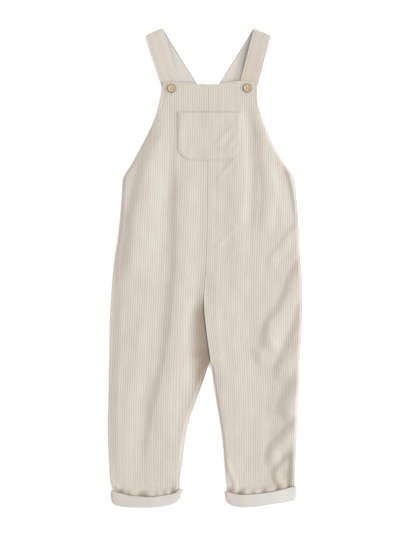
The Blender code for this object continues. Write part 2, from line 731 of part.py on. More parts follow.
make_front("front_left", -1)
make_front("front_right", 1)
make_back("back_left", -1)
make_back("back_right", 1)
make_pocket()
for one_strap in STRAPS:
    make_strap(one_strap)
make_cuff("cuff_left", CUFF_LEFT)
make_cuff("cuff_right", CUFF_RIGHT)
for one_button in BUTTONS:
    make_button(one_button)
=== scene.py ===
"""Looks of the toddler overalls: cloth shells, stitching, buttons, light.

X runs across, Y from the leg ends up to the shoulders, Z up from the surface
the garment lies on.  Sizes are millimetres, as in the CAD; LENGTH_UNIT turns
them into metres when a mesh is made.  Left is -X.
"""
import math
from collections import namedtuple

import bpy
import numpy as np
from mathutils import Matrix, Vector


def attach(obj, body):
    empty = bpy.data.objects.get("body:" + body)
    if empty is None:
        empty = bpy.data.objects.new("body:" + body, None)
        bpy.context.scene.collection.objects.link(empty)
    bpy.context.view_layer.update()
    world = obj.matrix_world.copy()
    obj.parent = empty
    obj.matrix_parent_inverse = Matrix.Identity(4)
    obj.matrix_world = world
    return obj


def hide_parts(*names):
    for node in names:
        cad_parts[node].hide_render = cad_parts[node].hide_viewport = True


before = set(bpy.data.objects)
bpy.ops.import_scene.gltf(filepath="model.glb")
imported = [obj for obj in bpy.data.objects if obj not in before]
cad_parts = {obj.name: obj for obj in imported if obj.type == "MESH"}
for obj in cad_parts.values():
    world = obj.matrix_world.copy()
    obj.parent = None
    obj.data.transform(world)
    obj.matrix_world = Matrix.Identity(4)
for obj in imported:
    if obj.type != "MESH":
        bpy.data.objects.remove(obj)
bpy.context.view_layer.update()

LENGTH_UNIT = 0.001
ROOT = "root"
SIDES = {-1: "left", 1: "right"}


def table(columns, *rows):
    """Rows of values whose columns have names."""
    row = namedtuple("row", columns)
    return [row(*values) for values in rows]


# ---- cloth ----
WALL = 1.2           # corduroy from its plain back to the bottom of a groove
WALE = 0.6           # how far a wale stands above the groove beside it
GROOVE_FILL = 0.44   # how much of that the nap fills again
WALE_PITCH = 3.3     # one wale and one groove
SEAM = 0.3           # clear space between two pieces that are sewn or touch
SEWN_GAP = 0.04      # the same across a sewn seam, where it shows
WALE_SIDE = 2.5      # how square a wale's section is
WALE_TOP = 1.8       # how blunt its top is
COLUMNS_IN_WALE = (0.0, 0.1, 0.25, 0.42, 0.58, 0.75, 0.9)
COARSE_IN_WALE = (0.0, 0.2, 0.4, 0.6, 0.8)
EDGE_COLUMNS = (0.07, 0.2, 0.45)  # columns this far in from a panel's widest points
SHORTEST_COLUMN = 6.0
ROW_CLEAR = 0.3      # share of a row's step that it keeps clear of a panel's edge
INNER_SKIP = 7       # a plain side has one column for this many on the face
INNER_ROW_SKIP = 3   # and one row
SHARP_ANGLE = math.radians(55)
TRIM_SHARP_ANGLE = math.radians(40)   # the same for buttons and thread

# ---- edges of a panel ----
OUTLINE_STEP = 2.0
NEAREST_POINTS = 0.3   # outline points closer than this are one
SAME_PLACE = 1e-7      # and so are places on an outline, counted in its points
RIM_WIDTH = 2.2      # strip beside every edge over which the cloth rolls over
RIM_DEPTHS = (1.5, 0.95, 0.55, 0.25, 0.06, 0.0)
INNER_RIM_DEPTH = 0.5
ROLL_RADIUS = 1.2
CORNER_STEPS = 7
STEEPEST_CORNER = 0.6  # keeps the inset of a sharp corner from running away

# How an edge is finished, as a share: a turned hem, a seam, a seam pressed flat.
HEMMED, SEAMED, PRESSED = 1, 0, -1
# An edge of a panel: corner is how far it is rounded into the next one.
Run = namedtuple("Run", "points finish corner")
BIB_CORNER = 3.0
SIDE_CORNER = 2.0
CROTCH_CORNER = 1.0
BACK_CORNER = 1.0
NECK_CORNER = 0.8
POCKET_CORNER = 1.2
TOP_POINTS = 60      # points along each edge, before they are spaced evenly
ARMHOLE_POINTS = 90
SIDE_POINTS = 300
INSEAM_POINTS = 200
CENTRE_POINTS = 260
NECK_POINTS = 40
BACK_CENTRE_POINTS = 300

# ---- outline of the body and legs ----
BODY = table(
    "y left seam right",
    (272, -61.9, 4.8, 76.2), (256, -63.8, 4.7, 76.3), (244, -66, 4.6, 76.6),
    (221, -72.2, 4.4, 82), (198, -82.4, 4.1, 91.5), (175, -94.3, 3.9, 102),
    (151, -107.5, 3.6, 116.9), (139, -115.3, 3.5, 126), (128.5, -120.2, 3.4, 130.8),
    (98, -122.1, 3, 134), (54, -126.2, 2.4, 136.8), (11, -132.6, 1, 139),
    (-19, -135.5, -0.8, 141.6), (-48, -137.4, -2.4, 142.1), (-92, -139.6, 1.4, 140.7),
    (-135, -140.1, 7.4, 138.2),
)
LEGS = table(
    "y left left_inseam right_inseam right",
    (-135, -140.1, 7.4, 7.4, 138.2), (-147, -140.4, 3.2, 9.9, 137.9),
    (-165, -140.5, -2.2, 12, 137.8), (-194, -141, -13, 16.5, 135.8),
    (-223, -142.1, -22.9, 21.4, 134.7), (-252, -141.8, -28.9, 25.5, 133.5),
    (-281, -140.3, -32.3, 28, 132.2), (-311, -138.4, -36.6, 30.8, 130.7),
    (-326, -134.2, -37.3, 32.4, 130.8), (-350, -134.2, -37.3, 32.4, 130.8),
)
CROTCH_Y = BODY[-1].y
UNDERARM_Y = 133.0
TOP_Y = BODY[0].y
BIB_CORNER_Y = 270.0         # where the armholes' lines meet the bib's top
LEG_END_Y = -330.0           # the legs' edges end here, inside the cuffs
CROTCH_GAP = 0.5             # between an inseam's end and the centre seam's
NECK_GAP = 1.0               # between the centre seam's two parts
SEAM_STRAIGHT = WALE_PITCH   # wales this near the centre seam follow it fully
SEAM_PULL = 40.0             # and beyond this distance not at all
# How far the other wales stray sideways.
DRIFT = table(
    "y left right",
    (276, 4.5, 4.5), (140, 3, 2.6), (50, 0, 0), (-30, -2.6, -2.6),
    (-90, -5, -2), (-150, -7.2, 1), (-210, -9, 2.8), (-280, -9.6, 3.2),
    (-350, -9.2, 2.6),
)

BIB_TOP = table(
    "x y",
    (-61.9, 271.8), (-35, 270.4), (-8, 268.2), (12, 267.6), (32, 270.2), (51.5, 272.6),
    (68, 271), (76.3, 268.4),
)

# ---- turned-up leg ends ----
CUFF_WALL = 1.2
CUFF_LIP = 1.4
CUFF_SLIT = 0.3
CUFF_STAND_OFF = 0.9
CUFFS = {
    -1: table(
        "x rim bottom",
        (-137.3, -324.8, -339), (-132.4, -326, -345.4), (-123.7, -328.6, -348),
        (-106, -332.3, -349.8), (-80, -333.9, -349.8), (-60.4, -331.6, -347.9),
        (-44.8, -328.2, -343.8), (-37.6, -323.2, -338.4), (-34, -322.4, -333),
    ),
    1: table(
        "x rim bottom",
        (29.2, -325.4, -336), (32.2, -326.4, -342.3), (40.9, -329, -347.1),
        (56, -330.7, -349.6), (76.2, -329.3, -348.4), (93.9, -327, -345.7),
        (111.7, -323.2, -343), (129.4, -319.2, -339.4), (134.2, -319, -335.6),
    ),
}

# ---- how high the front lies ----
BACK_FACE = WALL
STRAP_LEVEL = BACK_FACE + SEAM
BIB_SEAT = STRAP_LEVEL + WALL + WALE + SEAM
BODY_SEAT = BACK_FACE + SEAM
CUFF_SLOT = 0.5 * (WALL + SEAM + WALL + WALE) + SEAM
CUFF_AXIS = CUFF_SLOT + CUFF_WALL
CUFF_BACK_LIFT = CUFF_WALL + SEAM
CUFF_SEAT = CUFF_BACK_LIFT + WALL + SEAM
STRAP_ZONE_Y = 239.0
CUFF_ZONE_Y = -318.0
# Width over which a side edge curves down, and an inseam.
EDGE_ROUNDING = table(
    "y left right",
    (272, 5, 5), (100, 5, 5), (20, 8, 5), (-60, 15, 5),
    (-350, 15, 5),
)
INSEAM_ROUNDING = {-1: 7.0, 1: 4.0}
CROTCH_FADE = 26.0

REST = table(
    "y rim middle",
    (272, 3.6, 3.6), (240, 3.6, 3.6), (226, 2.8, 3.6), (206, 1.9, 3.7), (180, 1.5, 3.9),
    (128, 1.5, 4.2), (0, 1.5, 4.5), (-135, 1.5, 4.4), (-270, 1.5, 3.8),
    (-296, 2.6, 3.6), (-318, 3, 3), (-350, 3, 3),
)

# Folds and creases of the front, each path from its upper end down.  West and
# east are how far it reaches to either side, fade is over what length it starts
# and ends.  A ridge has a height above zero and a trough one below.  One with on
# set is on that half alone: -1 left, 1 right.
Fold = namedtuple("Fold", "name path west east height fade on", defaults=(0,))
FOLDS = [
    Fold("armhole_ridge_left",
         [(-56, 226), (-59, 206), (-65, 186), (-81, 150), (-90, 113), (-98, 77), (-102, 40),
          (-107, 4), (-112, -30)], 20, 42, 4.2, 44),
    Fold("beside_pocket_left",
         [(-43, 244), (-47, 226), (-53, 167), (-53, 99), (-54, 1), (-60, -60), (-67, -115),
          (-77, -164), (-90, -222), (-96, -281), (-97, -316)], 30, 14, -1.7, 50),
    Fold("down_left_leg",
         [(-32, 160), (-33, 100), (-34, 45), (-35, -10), (-42, -70), (-49, -145), (-62, -193),
          (-71, -262)], 24, 30, 2.0, 60),
    Fold("crotch_trough",
         [(-7, -28), (-10, -70), (-10, -105), (-6, -132), (-10, -165), (-22, -204)],
         26, 18, -1.5, 40, -1),
    Fold("crotch_ridge",
         [(-1, -30), (-0.5, -60), (1.5, -90), (5, -114), (8.5, -135), (13, -160)],
         7, 26, 2.4, 40, 1),
    Fold("inner_thigh_right", [(14, 20), (18, -40), (24, -120), (31, -210), (41, -300)],
         16, 50, 1.3, 60, 1),
    Fold("bib_sag", [(3, 280), (3, 240)], 22, 22, -0.8, 14),
    Fold("beside_pocket_right",
         [(50, 240), (49, 226), (49, 168), (48, 99), (50, -22), (52, -60)], 22, 19, 0.9, 44),
    Fold("hollow_right",
         [(62, 246), (62, 232), (64, 205), (67, 157), (68, 113), (62, 48)], 12, 11, -1.2, 24),
    Fold("armhole_ridge_right",
         [(80, 218), (82, 205), (87, 157), (91, 106), (84, 40)], 12, 18, 1.6, 24),
    Fold("underarm_crease_right", [(108, 152), (118, 128), (126, 88), (132, 56)],
         20, 7, -2.0, 16),
    Fold("side_ridge_right",
         [(137, -50), (135, -90), (134, -140), (132, -200), (130, -240)], 22, 9, 0.6, 24),
    Fold("shin_tilt_right", [(131, -176), (129, -230), (128, -340)], 52, 8, 1.2, 30),
    Fold("hip_ridge_right",
         [(172, 36), (150, 12), (141, 2), (130, -18), (123, -40), (112, -62), (97, -82),
          (92, -100), (84, -120)], 14, 30, 3.4, 24),
    Fold("hip_crease_right", [(150, 77), (114, 35), (90, 0)], 9, 14, 1.2, 14),
    Fold("hip_ridge_tail", [(104, -103), (88, -121), (68, -133)], 16, 26, 2.3, 14),
    Fold("thigh_crease_right",
         [(172, -32), (147, -60), (140, -84), (131, -107), (124, -122), (112, -150),
          (108, -172)], 16, 26, 3.2, 24),
    Fold("knee_crease_right",
         [(160, -142), (140, -165), (130, -185), (121, -204), (111, -222)], 20, 17, 3.4, 16),
    Fold("knee_ridge_right",
         [(154, -214), (128, -235), (118, -246), (109, -256), (102, -264), (98, -276),
          (97, -294)], 14, 15, 3.2, 20),
    Fold("above_cuff_right",
         [(142, -262), (119, -282), (108, -293), (104, -300), (106, -309), (110.5, -318),
          (114, -332)], 9, 12, 2.6, 22),
    Fold("beside_cuff_right", [(131.5, -266), (129.5, -284), (128.5, -303), (127, -332)],
         9, 7, 4.4, 12),
    Fold("inseam_crease_right", [(28, -276), (36, -296), (42, -312), (46, -332)],
         5, 7, 0.9, 8),
    Fold("pocket_crease_high", [(42, 207), (28, 193), (12, 175)], 5, 6, 0.5, 8),
    Fold("pocket_crease_low", [(48, 192), (38, 182), (27, 168)], 5, 6, 0.45, 7),
    Fold("under_pocket_crease", [(47, 165), (32, 146), (15, 124)], 5, 7, 0.5, 9),
    Fold("belly_crease_right", [(47, 63), (28, 43), (8, 22)], 6, 7, 0.45, 10),
    Fold("side_sag_left", [(-119, 100), (-122, 40), (-129, -60), (-130, -150)], 12, 10, -0.7, 30),
    Fold("thigh_ridge_left", [(-94, -60), (-100, -120), (-105, -200), (-103, -262)],
         14, 16, 0.5, 34),
    Fold("shin_ridge_right", [(86, -200), (80, -246), (78, -300)], 14, 14, 0.6, 26),
]

# Gathers where the cloth is caught under a cuff's rim: a row for each, and how
# far it leans per mm of height.
GATHERS = table(
    "x width depth length lean",
    (-124, 5.4, 2, 17, 0.25), (-113, 4, 1.2, 12, 0.1), (-95, 5, 1.4, 14, -0.1),
    (-88, 5.4, 1.7, 16, -0.15), (-72, 3.4, 0.7, 10, 0), (-60, 3.4, 1.1, 12, -0.1),
    (-46, 5, 2.3, 20, -0.3), (35.5, 4.2, 1.9, 18, 0.3), (50, 5.4, 2.3, 18, 0.35),
    (68, 3.4, 1, 12, 0.1), (85, 4.6, 1.7, 14, 0), (106.3, 4.4, 1.9, 15, -0.2),
    (122.5, 4.2, 2.1, 15, -0.1),
)
GATHER_TUCK = -8.0    # a gather leans on until this far below the rim
GATHER_PUFF = 2.4     # how far the cloth bulges just above a cuff's rim
PUFF_HEIGHT = 13.0
PUFF_PEAK = 27.0 / 4.0   # makes the highest point of t (1 - t)^2 one
PUFF_INSET = 9.0      # it grows over this distance from a leg's edges
PUFF_TUCK = 6.0       # and dies out over this one below the rim
CUFF_FADE = 13.0      # folds die out over this distance above a cuff's rim

# How little light reaches the cloth beside its seam in the fold at the crotch,
# beside the right half's outer edge, and where the cloth is gathered: reach is
# how far from that edge the shade goes.
CROTCH_SHADE = table(
    "y reach depth",
    (12, 4, 0), (-24, 9, 0.15), (-47, 15, 0.4), (-69, 26, 0.75),
    (-91, 31, 0.8), (-113, 35, 0.85), (-127, 38, 1), (-142, 31, 1),
    (-157, 23, 0.95), (-171, 20, 0.6), (-193, 16, 0.35), (-240, 10, 0.1),
    (-300, 6, 0),
)
SIDE_SHADE = table(
    "y reach depth",
    (130, 5, 0.1), (60, 7, 0.25), (-95, 9, 0.25), (-145, 56, 0.12),
    (-250, 58, 0.15), (-340, 50, 0.18),
)
SHADE_FULLNESS = 1.35
SHADED_GATHER = 2.2  # a gather this deep is darkest
GATHER_SHADE_HEIGHT = 13.0
TURN_STEP = 1.0      # slopes are measured over this to either side
TURN_GAIN = 1.5      # how fast the painted light and shade in the cloth's colour change with its slope

# Long, faint waves of cloth that no hand has smoothed.
WAVES = table(
    "length direction phase height",
    (61, 14, 0.4, 0.16), (43, 67, 2.1, 0.12), (37, -38, 4.4, 0.11),
    (29, 31, 1.3, 0.08), (23, -71, 5.2, 0.06), (19, 88, 3, 0.05),
    (15, -12, 0.9, 0.035), (12.5, 49, 2.7, 0.03),
)

# ---- rows of points: from this height up, this far apart; the last row ends them ----
FRONT_ROWS = table("start step", (-352, 1.6), (-300, 3.4), (125, 1.6), (276, 0))
BACK_ROWS = table("start step", (-352, 2.4), (-290, 7), (246, 0))
POCKET_ROWS = table("start step", (150, 1.6), (230, 0))

# ---- back ----
BACK_TOP_Y = 243.6
BACK_ARMHOLES = table(
    "y left right",
    (243.6, -27.2, 37), (225, -32.5, 41.5), (200, -44, 52.5), (175, -64, 74),
    (150, -92, 104), (128.5, -119.7, 130.3),
)
BACK_EDGE_INSET = 0.4
BACK_RAMP_TOP_Y = -296.0
BACK_RAMP_BOTTOM_Y = -318.0
BACK_FOLDS = [
    Fold("seat_left", [(-14, -60), (-48, -92), (-96, -108)], 10, 13, 1.0, 24),
    Fold("seat_right", [(22, -66), (60, -98), (104, -110)], 10, 12, 1.1, 24),
    Fold("waist_left", [(-96, 70), (-62, 44), (-22, 36)], 11, 9, 0.8, 22),
    Fold("waist_right", [(104, 58), (70, 36), (30, 22)], 9, 12, 0.7, 20),
    Fold("knee_left_high", [(-46, -172), (-76, -190), (-112, -196)], 9, 11, 0.9, 18),
    Fold("knee_left_low", [(-52, -212), (-84, -222), (-118, -218)], 8, 9, 0.6, 16),
    Fold("knee_right_high", [(38, -168), (70, -186), (112, -188)], 10, 9, 0.9, 18),
    Fold("knee_right_low", [(46, -214), (78, -228), (108, -224)], 8, 10, 0.7, 16),
    Fold("thigh_left", [(-92, -20), (-100, -70), (-98, -128)], 12, 9, 0.7, 24),
    Fold("thigh_right", [(96, -6), (104, -58), (98, -132)], 9, 12, 0.8, 24),
    Fold("shoulder_blade", [(-20, 210), (4, 176), (10, 128)], 10, 12, 0.6, 24),
]

# ---- pocket ----
POCKET_LEFT = -40.2
POCKET_RIGHT = 52.7
POCKET_TOP = 226.5
POCKET_BOTTOM = 157.0
POCKET_CORNER_LEFT = 20.0
POCKET_CORNER_RIGHT = 26.0
POCKET_CLEAR = 0.1           # above the front's crests
POCKET_SEWN_DOWN = 0.75      # how far its stitched edges press into them
POCKET_OPENING = 0.5         # how far its top stands open
POCKET_STITCH_IN = 2.2
POCKET_STITCH_DEPTH = 0.3
POCKET_OPEN_HEIGHT = 30.0    # its opening dies out over this height
POCKET_OPEN_INSET = 26.0     # and grows over this distance from its sides
POCKET_PRESSED = 4.0         # its edges are pressed down over this width
POCKET_PRESSED_TOP = 6.0     # but not near its top
POCKET_SIDE_STITCH = 2.6 * POCKET_STITCH_IN   # stitches down through its hem
POCKET_STITCH_TOP = 1.0      # where all its stitches end below the top
POCKET_CORNER_POINTS = 16

# ---- straps ----
STRAP_WIDTH = 27.0
STRAP_WALES = 8
STRAP_FOLD_RADIUS = 2.6
STRAP_FRONT_LENGTH = 99.0
STRAP_SETTLE_FROM = 22.0      # its front part sinks from this far below the fold
STRAP_SETTLE = 52.0           # over this length
STRAP_STITCH_IN = 2.4
STRAP_STITCH_DEPTH = 0.3
STRAP_STITCH_RAISED = 0.4 * WALE
STRAP_STITCH_END = 2.0        # how far from its ends its stitches stop
STRAP_PLAIN_COLUMNS = 14
STRAP_FRONT_ROWS = 46
STRAP_TURN_ROWS = 13
STRAP_BACK_ROWS = 44
STRAP_WALE = 0.7              # share of a wale's height that a strap's wales have
# shade is the painted shadow on the back part beside the front one, rim the painted shade of its
# plain side along its edges, and turned the painted shade of its front by how far it faces away.
STRAPS = table(
    "name fold_x fold_y front_angle fold_angle shade rim turned",
    ("strap_left", -75, 344.2, 17.5, 24.65, 0, 0.9, 0.5),
    ("strap_right", 84, 344, -14.7, -23.3, 0.5, 0.2, 1),
)
STRAP_RIM_SHADE = 1.6         # how far in from its edge the plain side is darkened with painted shade
STRAP_RIM_SOFTNESS = 0.9
STRAP_SHADE_FULLNESS = 1.6
STRAP_EDGE_CLEAR = 0.1        # between its last column and its rolled edge
STRAP_PROBE = 100.0           # how far ahead the way down its back is sought
STRAP_SHADE_REACH = 15.0
STRAP_SHADE_FROM = 70.0       # it deepens over this length from the fold

# ---- form of the cuffs ----
CUFF_FLAT_STEPS = 64
CUFF_END_STEPS = 16
CUFF_EVEN = 0.35      # how evenly its stations are spaced, against crowding at the ends
CUFF_SWELL = 0.9      # how far its front bulges between the fold and the rim
CUFF_SWELL_HEIGHT = 14.0
CUFF_WAVE = 0.3
CUFF_FLARE = {-1: 3.4, 1: 0.8}   # how far its rim stands off at the inseam
CUFF_FLARE_FORM = 1.5            # how late that sets in on the way up
# Waves along a cuff's rim, each tau times this long.
CUFF_WAVES = table("length share phase", (7.3, 1, 0), (4.1, 0.7, 1.2))
# A cuff's section.  Out is a share of its wall, above the height over its fold,
# share how far up from there to its rim.
CUFF_OUTSIDE = table(
    "out above share",
    (0.5, 0, 1), (0.82, -0.12, 1), (0.98, -0.45, 1), (1, 0, 0.86),
    (1, 0, 0.7), (1, 0, 0.54), (1, 0, 0.38), (1, 0, 0.24),
    (1, 2.6, 0), (0.93, 1.5, 0), (0.76, 0.72, 0), (0.45, 0.2, 0), (0.05, 0, 0),
)
CUFF_INSIDE = table(
    "out above share",
    (0, CUFF_LIP, 0), (0, 0, 0.3), (0, 0, 0.55), (0, 0, 0.8),
    (0.02, -0.45, 1), (0.18, -0.12, 1),
)
# Its folded edge between them: how far out from the slit, and above the fold.
CUFF_EDGE = table("out above", (0.9, 0), (0.25, 0.3), (0, 0.8), (0, CUFF_LIP))
# Painted light and shade by how a cuff's cloth is turned to the light, as in front_looks, from
# its left to its right end.
CUFF_TURNED = {-1: table("share turned", (0.0, 1.2), (0.4, 0.8), (1.0, 0.2)),
               1: table("share turned", (0.0, 1.4), (0.35, 0.5), (1.0, -0.7))}

# ---- buttons ----
BUTTON_RADIUS = 6.25
BUTTON_THICKNESS = 2.4
BUTTON_DISH = 0.7
BUTTON_RIM = 1.5
BUTTON_CLEAR = 0.3
BUTTON_HOLE_RADIUS = 0.8
BUTTON_HOLE_OFFSET = 1.5
BUTTON_SIDES = 72
BUTTON_SAMPLES = 13   # places round it at which the cloth's height is taken
HOLE_SIDES = 18
BUTTONS = table("name x y", ("button_left", -48.8, 261.3), ("button_right", 61.5, 261.8))
# A button's section from its base to the middle of its dish, in four parts.
BUTTON_FOOT = table("inwards up", (1, 0), (0.5, 0.12), (0.15, 0.45), (0, 0.95))
BUTTON_SHOULDER = table("inwards down", (0, 0.9), (0.12, 0.45), (0.4, 0.12), (0.75, 0))
BUTTON_LIP = table("outwards down", (0.45, 0.03), (0.2, 0.14), (0, 0.36))
BUTTON_FLOOR = table("inwards up", (0.25, 0.12), (0.6, 0), (1.6, -0.06))
HOLE_BEVEL = 0.3      # how much wider a hole is at the dish's floor
HOLE_BEVEL_FROM = -0.35
HOLE_BEVEL_TO = 0.05
HOLE_BEYOND = 1.0     # how far the shape that cuts it reaches past the button

# ---- hems ----
SEAM_EDGE = 0.45      # share of the thickness at which a seamed edge turns under
PRESSED_SEAM = 0.36   # how much more of it a seam pressed flat keeps
# wale is the share of a wale's height left over the turned cloth, groove the
# depth of the line its stitching pulls in.
Hem = namedtuple("Hem", "width puff groove wale")
HEM_MARGIN = 0.4      # its wales are lower this far past its stitching
HEM_SOFTNESS = 1.0
HEM_PUFF_OUTER = 1.5  # its puff rises over this width at the edge
HEM_PUFF_INNER = 2.0  # and falls over this one beside the stitching
ARMHOLE_HEM = {-1: Hem(4.8, 0.25, 0.25, 0.6), 1: Hem(4.2, 0.2, 0.3, 0.6)}
TOP_HEM = Hem(2.6, 0.2, 0.25, 0.4)
POCKET_HEM = Hem(21.0, 0.15, 0.25, 0.85)
HEM_GROOVE_WIDTH = 1.1

# ---- stitches ----
STITCH_PITCH = 3.0
STITCH_LENGTH = 2.2
STITCH_RADIUS = 0.27
STITCH_SIDES = 6
STITCH_LINE = 0.7       # half width of the line a row of stitches pulls in
STITCH_PLACES = np.array([-1.0, -0.72, 0.0, 0.72, 1.0])   # along half its length
STITCH_WIDTHS = np.array([0.35, 0.85, 1.0, 0.85, 0.35])
STITCH_END_SHARE = 0.4  # of a pitch, kept free where a row of stitches ends
PATH_STEP = 0.5         # spacing of the points a row of stitches is measured along
STITCH_RAISED = 0.1     # how far a stitch's middle line lies above the crests
STITCH_DIP = 0.4        # and how much lower its ends lie
PURL_PITCH = 0.56
PURL_LENGTH = 1.3
PURL_RADIUS = 0.26
PURL_SINK = 0.05        # how far below the crests a purl stitch's middle lies
PURL_TURN = 15.0        # step round a buttonhole's ends, degrees
BUTTONHOLE_HALF_WIDTH = 1.1
BUTTONHOLE_ABOVE = 1.5  # how far a buttonhole reaches above its button's middle
BUTTONHOLE_BELOW = 9.2  # and below it
SLIT_HALF_WIDTH = 0.6
SLIT_ROWS = 15
SLIT_FORM = 8           # how square its ends are
SLIT_TIP = 0.02         # least share of its width, squared
SLIT_SINK = 0.12
SLIT_DEPTH = 0.7
SHANK_RADIUS = 0.27     # thread through a button's holes
SHANK_RAISED = 0.22     # above the floor of the button's dish
SHANK_DIP = 1.1
SHANK_FORM = 6          # how late it dips into the holes
SHANK_REACH = 0.1       # how far past the holes' middles it goes

# ---- looks, as linear colours ----
# painted shade in the grooves: a wale's crest colour, and the darker, redder colour its groove is
# painted with
CORDUROY_CREST = (0.455, 0.418, 0.367)
CORDUROY_GROOVE_SHADE = (0.424, 0.385, 0.332)
FOLD_SHADE_COLOUR = (0.235, 0.185, 0.140)     # painted shade deep in a fold, where fold_shade is 1
# painted shade of the wrong side, where fold_shade is 1
PLAIN_FOLD_SHADE_COLOUR = (0.29, 0.255, 0.22)
LIT_TINT = (1.026, 1.048, 1.062)        # painted light where the cloth faces the light
TURNED_TINT = (0.964, 0.925, 0.922)     # and painted shade where it faces away
PATCH_TINT = 0.9      # how much of that the cloth has in patches of its own
GROOVE_SHARE = 0.2    # how much of a wale's pitch a groove's shade takes, from its middle
PLAIN_COLOUR = (0.50, 0.475, 0.425)
STRAP_PLAIN_COLOUR = (0.462, 0.445, 0.408)
CUFF_COLOUR = (0.450, 0.428, 0.394)
THREAD_COLOUR = (0.46, 0.415, 0.355)
# painted shade: near-black inside a buttonhole's slit
SLIT_SHADE_COLOUR = (0.10, 0.075, 0.055)
WOOD_MIDDLE = (0.46, 0.37, 0.235)
WOOD_EDGE = (0.20, 0.13, 0.055)
WOOD_RIM_FROM = 3.9
WOOD_RIM_TO = 5.9
FLOOR_COLOUR = (0.97, 0.97, 0.97)
FLOOR_SIZE = 6000.0
FLOOR_DROP = 0.1      # how far it lies below the garment
FLOOR_GLOW = 0.2      # washes out its shadows, as in a shop's cut-out picture
WHITE = (1.0, 1.0, 1.0)
WORLD_STRENGTH = 1.0
SHEEN_ROUGHNESS = 0.5

Finish = namedtuple("Finish", "roughness specular sheen")
CORDUROY_FINISH = Finish(0.92, 0.2, 0.3)
PLAIN_FINISH = Finish(0.9, 0.2, 0.2)
CUFF_FINISH = Finish(0.9, 0.2, 0.25)
THREAD_FINISH = Finish(0.6, 0.2, 0.1)
SLIT_FINISH = Finish(0.95, 0.2, 0.0)
WOOD_FINISH = Finish(0.45, 0.4, 0.0)
FLOOR_FINISH = Finish(0.9, 0.2, 0.0)

# ---- unevenness: amount is how far it changes the colour ----
# Cloth is measured in pitches of its wales, wood and thread in metres.
Grain = namedtuple("Grain", "stretch scale detail roughness amount")
FIBRES = Grain((9.0, 3.2, 1.0), 1.0, 4.0, 0.65, 0.085)
TUFTS = Grain((1.0, 0.28, 1.0), 2.2, 2.0, 0.5, 0.05)
PATCHES = Grain((0.09, 0.07, 1.0), 1.0, 2.0, 0.5, 0.03)
THREADS = Grain((7.0, 7.0, 1.0), 1.0, 3.0, 0.6, 0.05)
PLAIN_PATCHES = Grain((0.12, 0.1, 1.0), 1.0, 2.0, 0.5, 0.03)
WOOD_GRAIN = Grain((900.0, 220.0, 500.0), 1.0, 4.0, 0.5, 0.25)
WALE_AMOUNT = 0.022   # and how far one wale's colour differs from the next one's
Bands = namedtuple("Bands", "scale distortion detail amount")
TWILL = Bands(1.6, 0.6, 2.0, 0.012)
TWIST = Bands(900.0, 1.0, 2.0, 0.12)
Bump = namedtuple("Bump", "depth strength")    # depth in metres
NAP_BUMP = Bump(0.0003, 0.45)
TWILL_BUMP = Bump(0.0002, 0.3)
TWIST_BUMP = Bump(0.0001, 0.3)
TUFT_HEIGHT = 0.5     # share of the fibres' height
TWILL_HEIGHT = 0.3    # share of the threads' height

# ---- light: size and spot in metres, power in watts ----
Light = namedtuple("Light", "name size power spot")
KEY_LIGHT = Light("key", 4.6, 250.0, (3.6, 0.1, 2.65))

# ---- camera ----
SHOWN_HEIGHT = 782.6        # how much the picture shows from top to bottom
SHOWN_X = -0.29             # what lies in its middle
SHOWN_Y = -0.365
CAMERA_LENS = 120.0
CAMERA_SENSOR = 36.0
CAMERA_CLIP_END = 20.0      # metres


# ---- small mathematics ----
def smooth(t):
    """0 to 1 with level ends."""
    t = np.clip(t, 0.0, 1.0)
    return t * t * (3.0 - 2.0 * t)


def curve(rows, at, key, value):
    """Monotone cubic through a table's rows, held level beyond its ends."""
    rows = sorted(rows, key=lambda row: getattr(row, key))
    xs = np.array([getattr(row, key) for row in rows])
    ys = np.array([getattr(row, value) for row in rows])
    slopes = np.diff(ys) / np.diff(xs)
    tangents = np.concatenate(([slopes[0]], np.zeros(len(xs) - 2), [slopes[-1]]))
    both = slopes[:-1] * slopes[1:]
    rising = both > 0.0
    tangents[1:-1][rising] = 2.0 * both[rising] / (slopes[:-1] + slopes[1:])[rising]
    at = np.clip(at, xs[0], xs[-1])
    i = np.clip(np.searchsorted(xs, at, side="right") - 1, 0, len(xs) - 2)
    step = xs[i + 1] - xs[i]
    t = (at - xs[i]) / step
    return (ys[i] * (1 + 2 * t) * (1 - t) ** 2 + step * tangents[i] * t * (1 - t) ** 2
            + ys[i + 1] * t * t * (3 - 2 * t) + step * tangents[i + 1] * t * t * (t - 1))


def flowing(path, steps=6):
    """The same path with smooth bends, through all its points."""
    points = np.array(path, float)
    ends = np.vstack([2 * points[0] - points[1], points, 2 * points[-1] - points[-2]])
    t = np.arange(steps)[:, None] / steps
    made = []
    for a, b, c, d in zip(ends, ends[1:], ends[2:], ends[3:]):
        made.append(0.5 * (2 * b + (c - a) * t + (2 * a - 5 * b + 4 * c - d) * t ** 2
                           + (3 * b - a - 3 * c + d) * t ** 3))
    return np.vstack([*made, points[-1:]])


def bent(folds):
    """The same folds along smooth paths."""
    return [fold._replace(path=flowing(fold.path)) for fold in folds]


def nearest_on_path(x, y, path):
    """Distance to a path, side of it (1 where the path runs down and this is to
    its right) and how far along it the nearest point lies."""
    best = np.full(np.shape(x), np.inf)
    side = np.ones(np.shape(x))
    along = np.zeros(np.shape(x))
    start = 0.0
    for (ax, ay), (bx, by) in zip(path, path[1:]):
        run_x, run_y = bx - ax, by - ay
        length = math.hypot(run_x, run_y)
        t = np.clip(((x - ax) * run_x + (y - ay) * run_y) / length ** 2, 0.0, 1.0)
        away = np.hypot(x - ax - t * run_x, y - ay - t * run_y)
        nearer = away < best
        best = np.where(nearer, away, best)
        side = np.where(nearer, np.sign(run_x * (y - ay) - run_y * (x - ax)), side)
        along = np.where(nearer, start + t * length, along)
        start += length
    return best, side, along, start


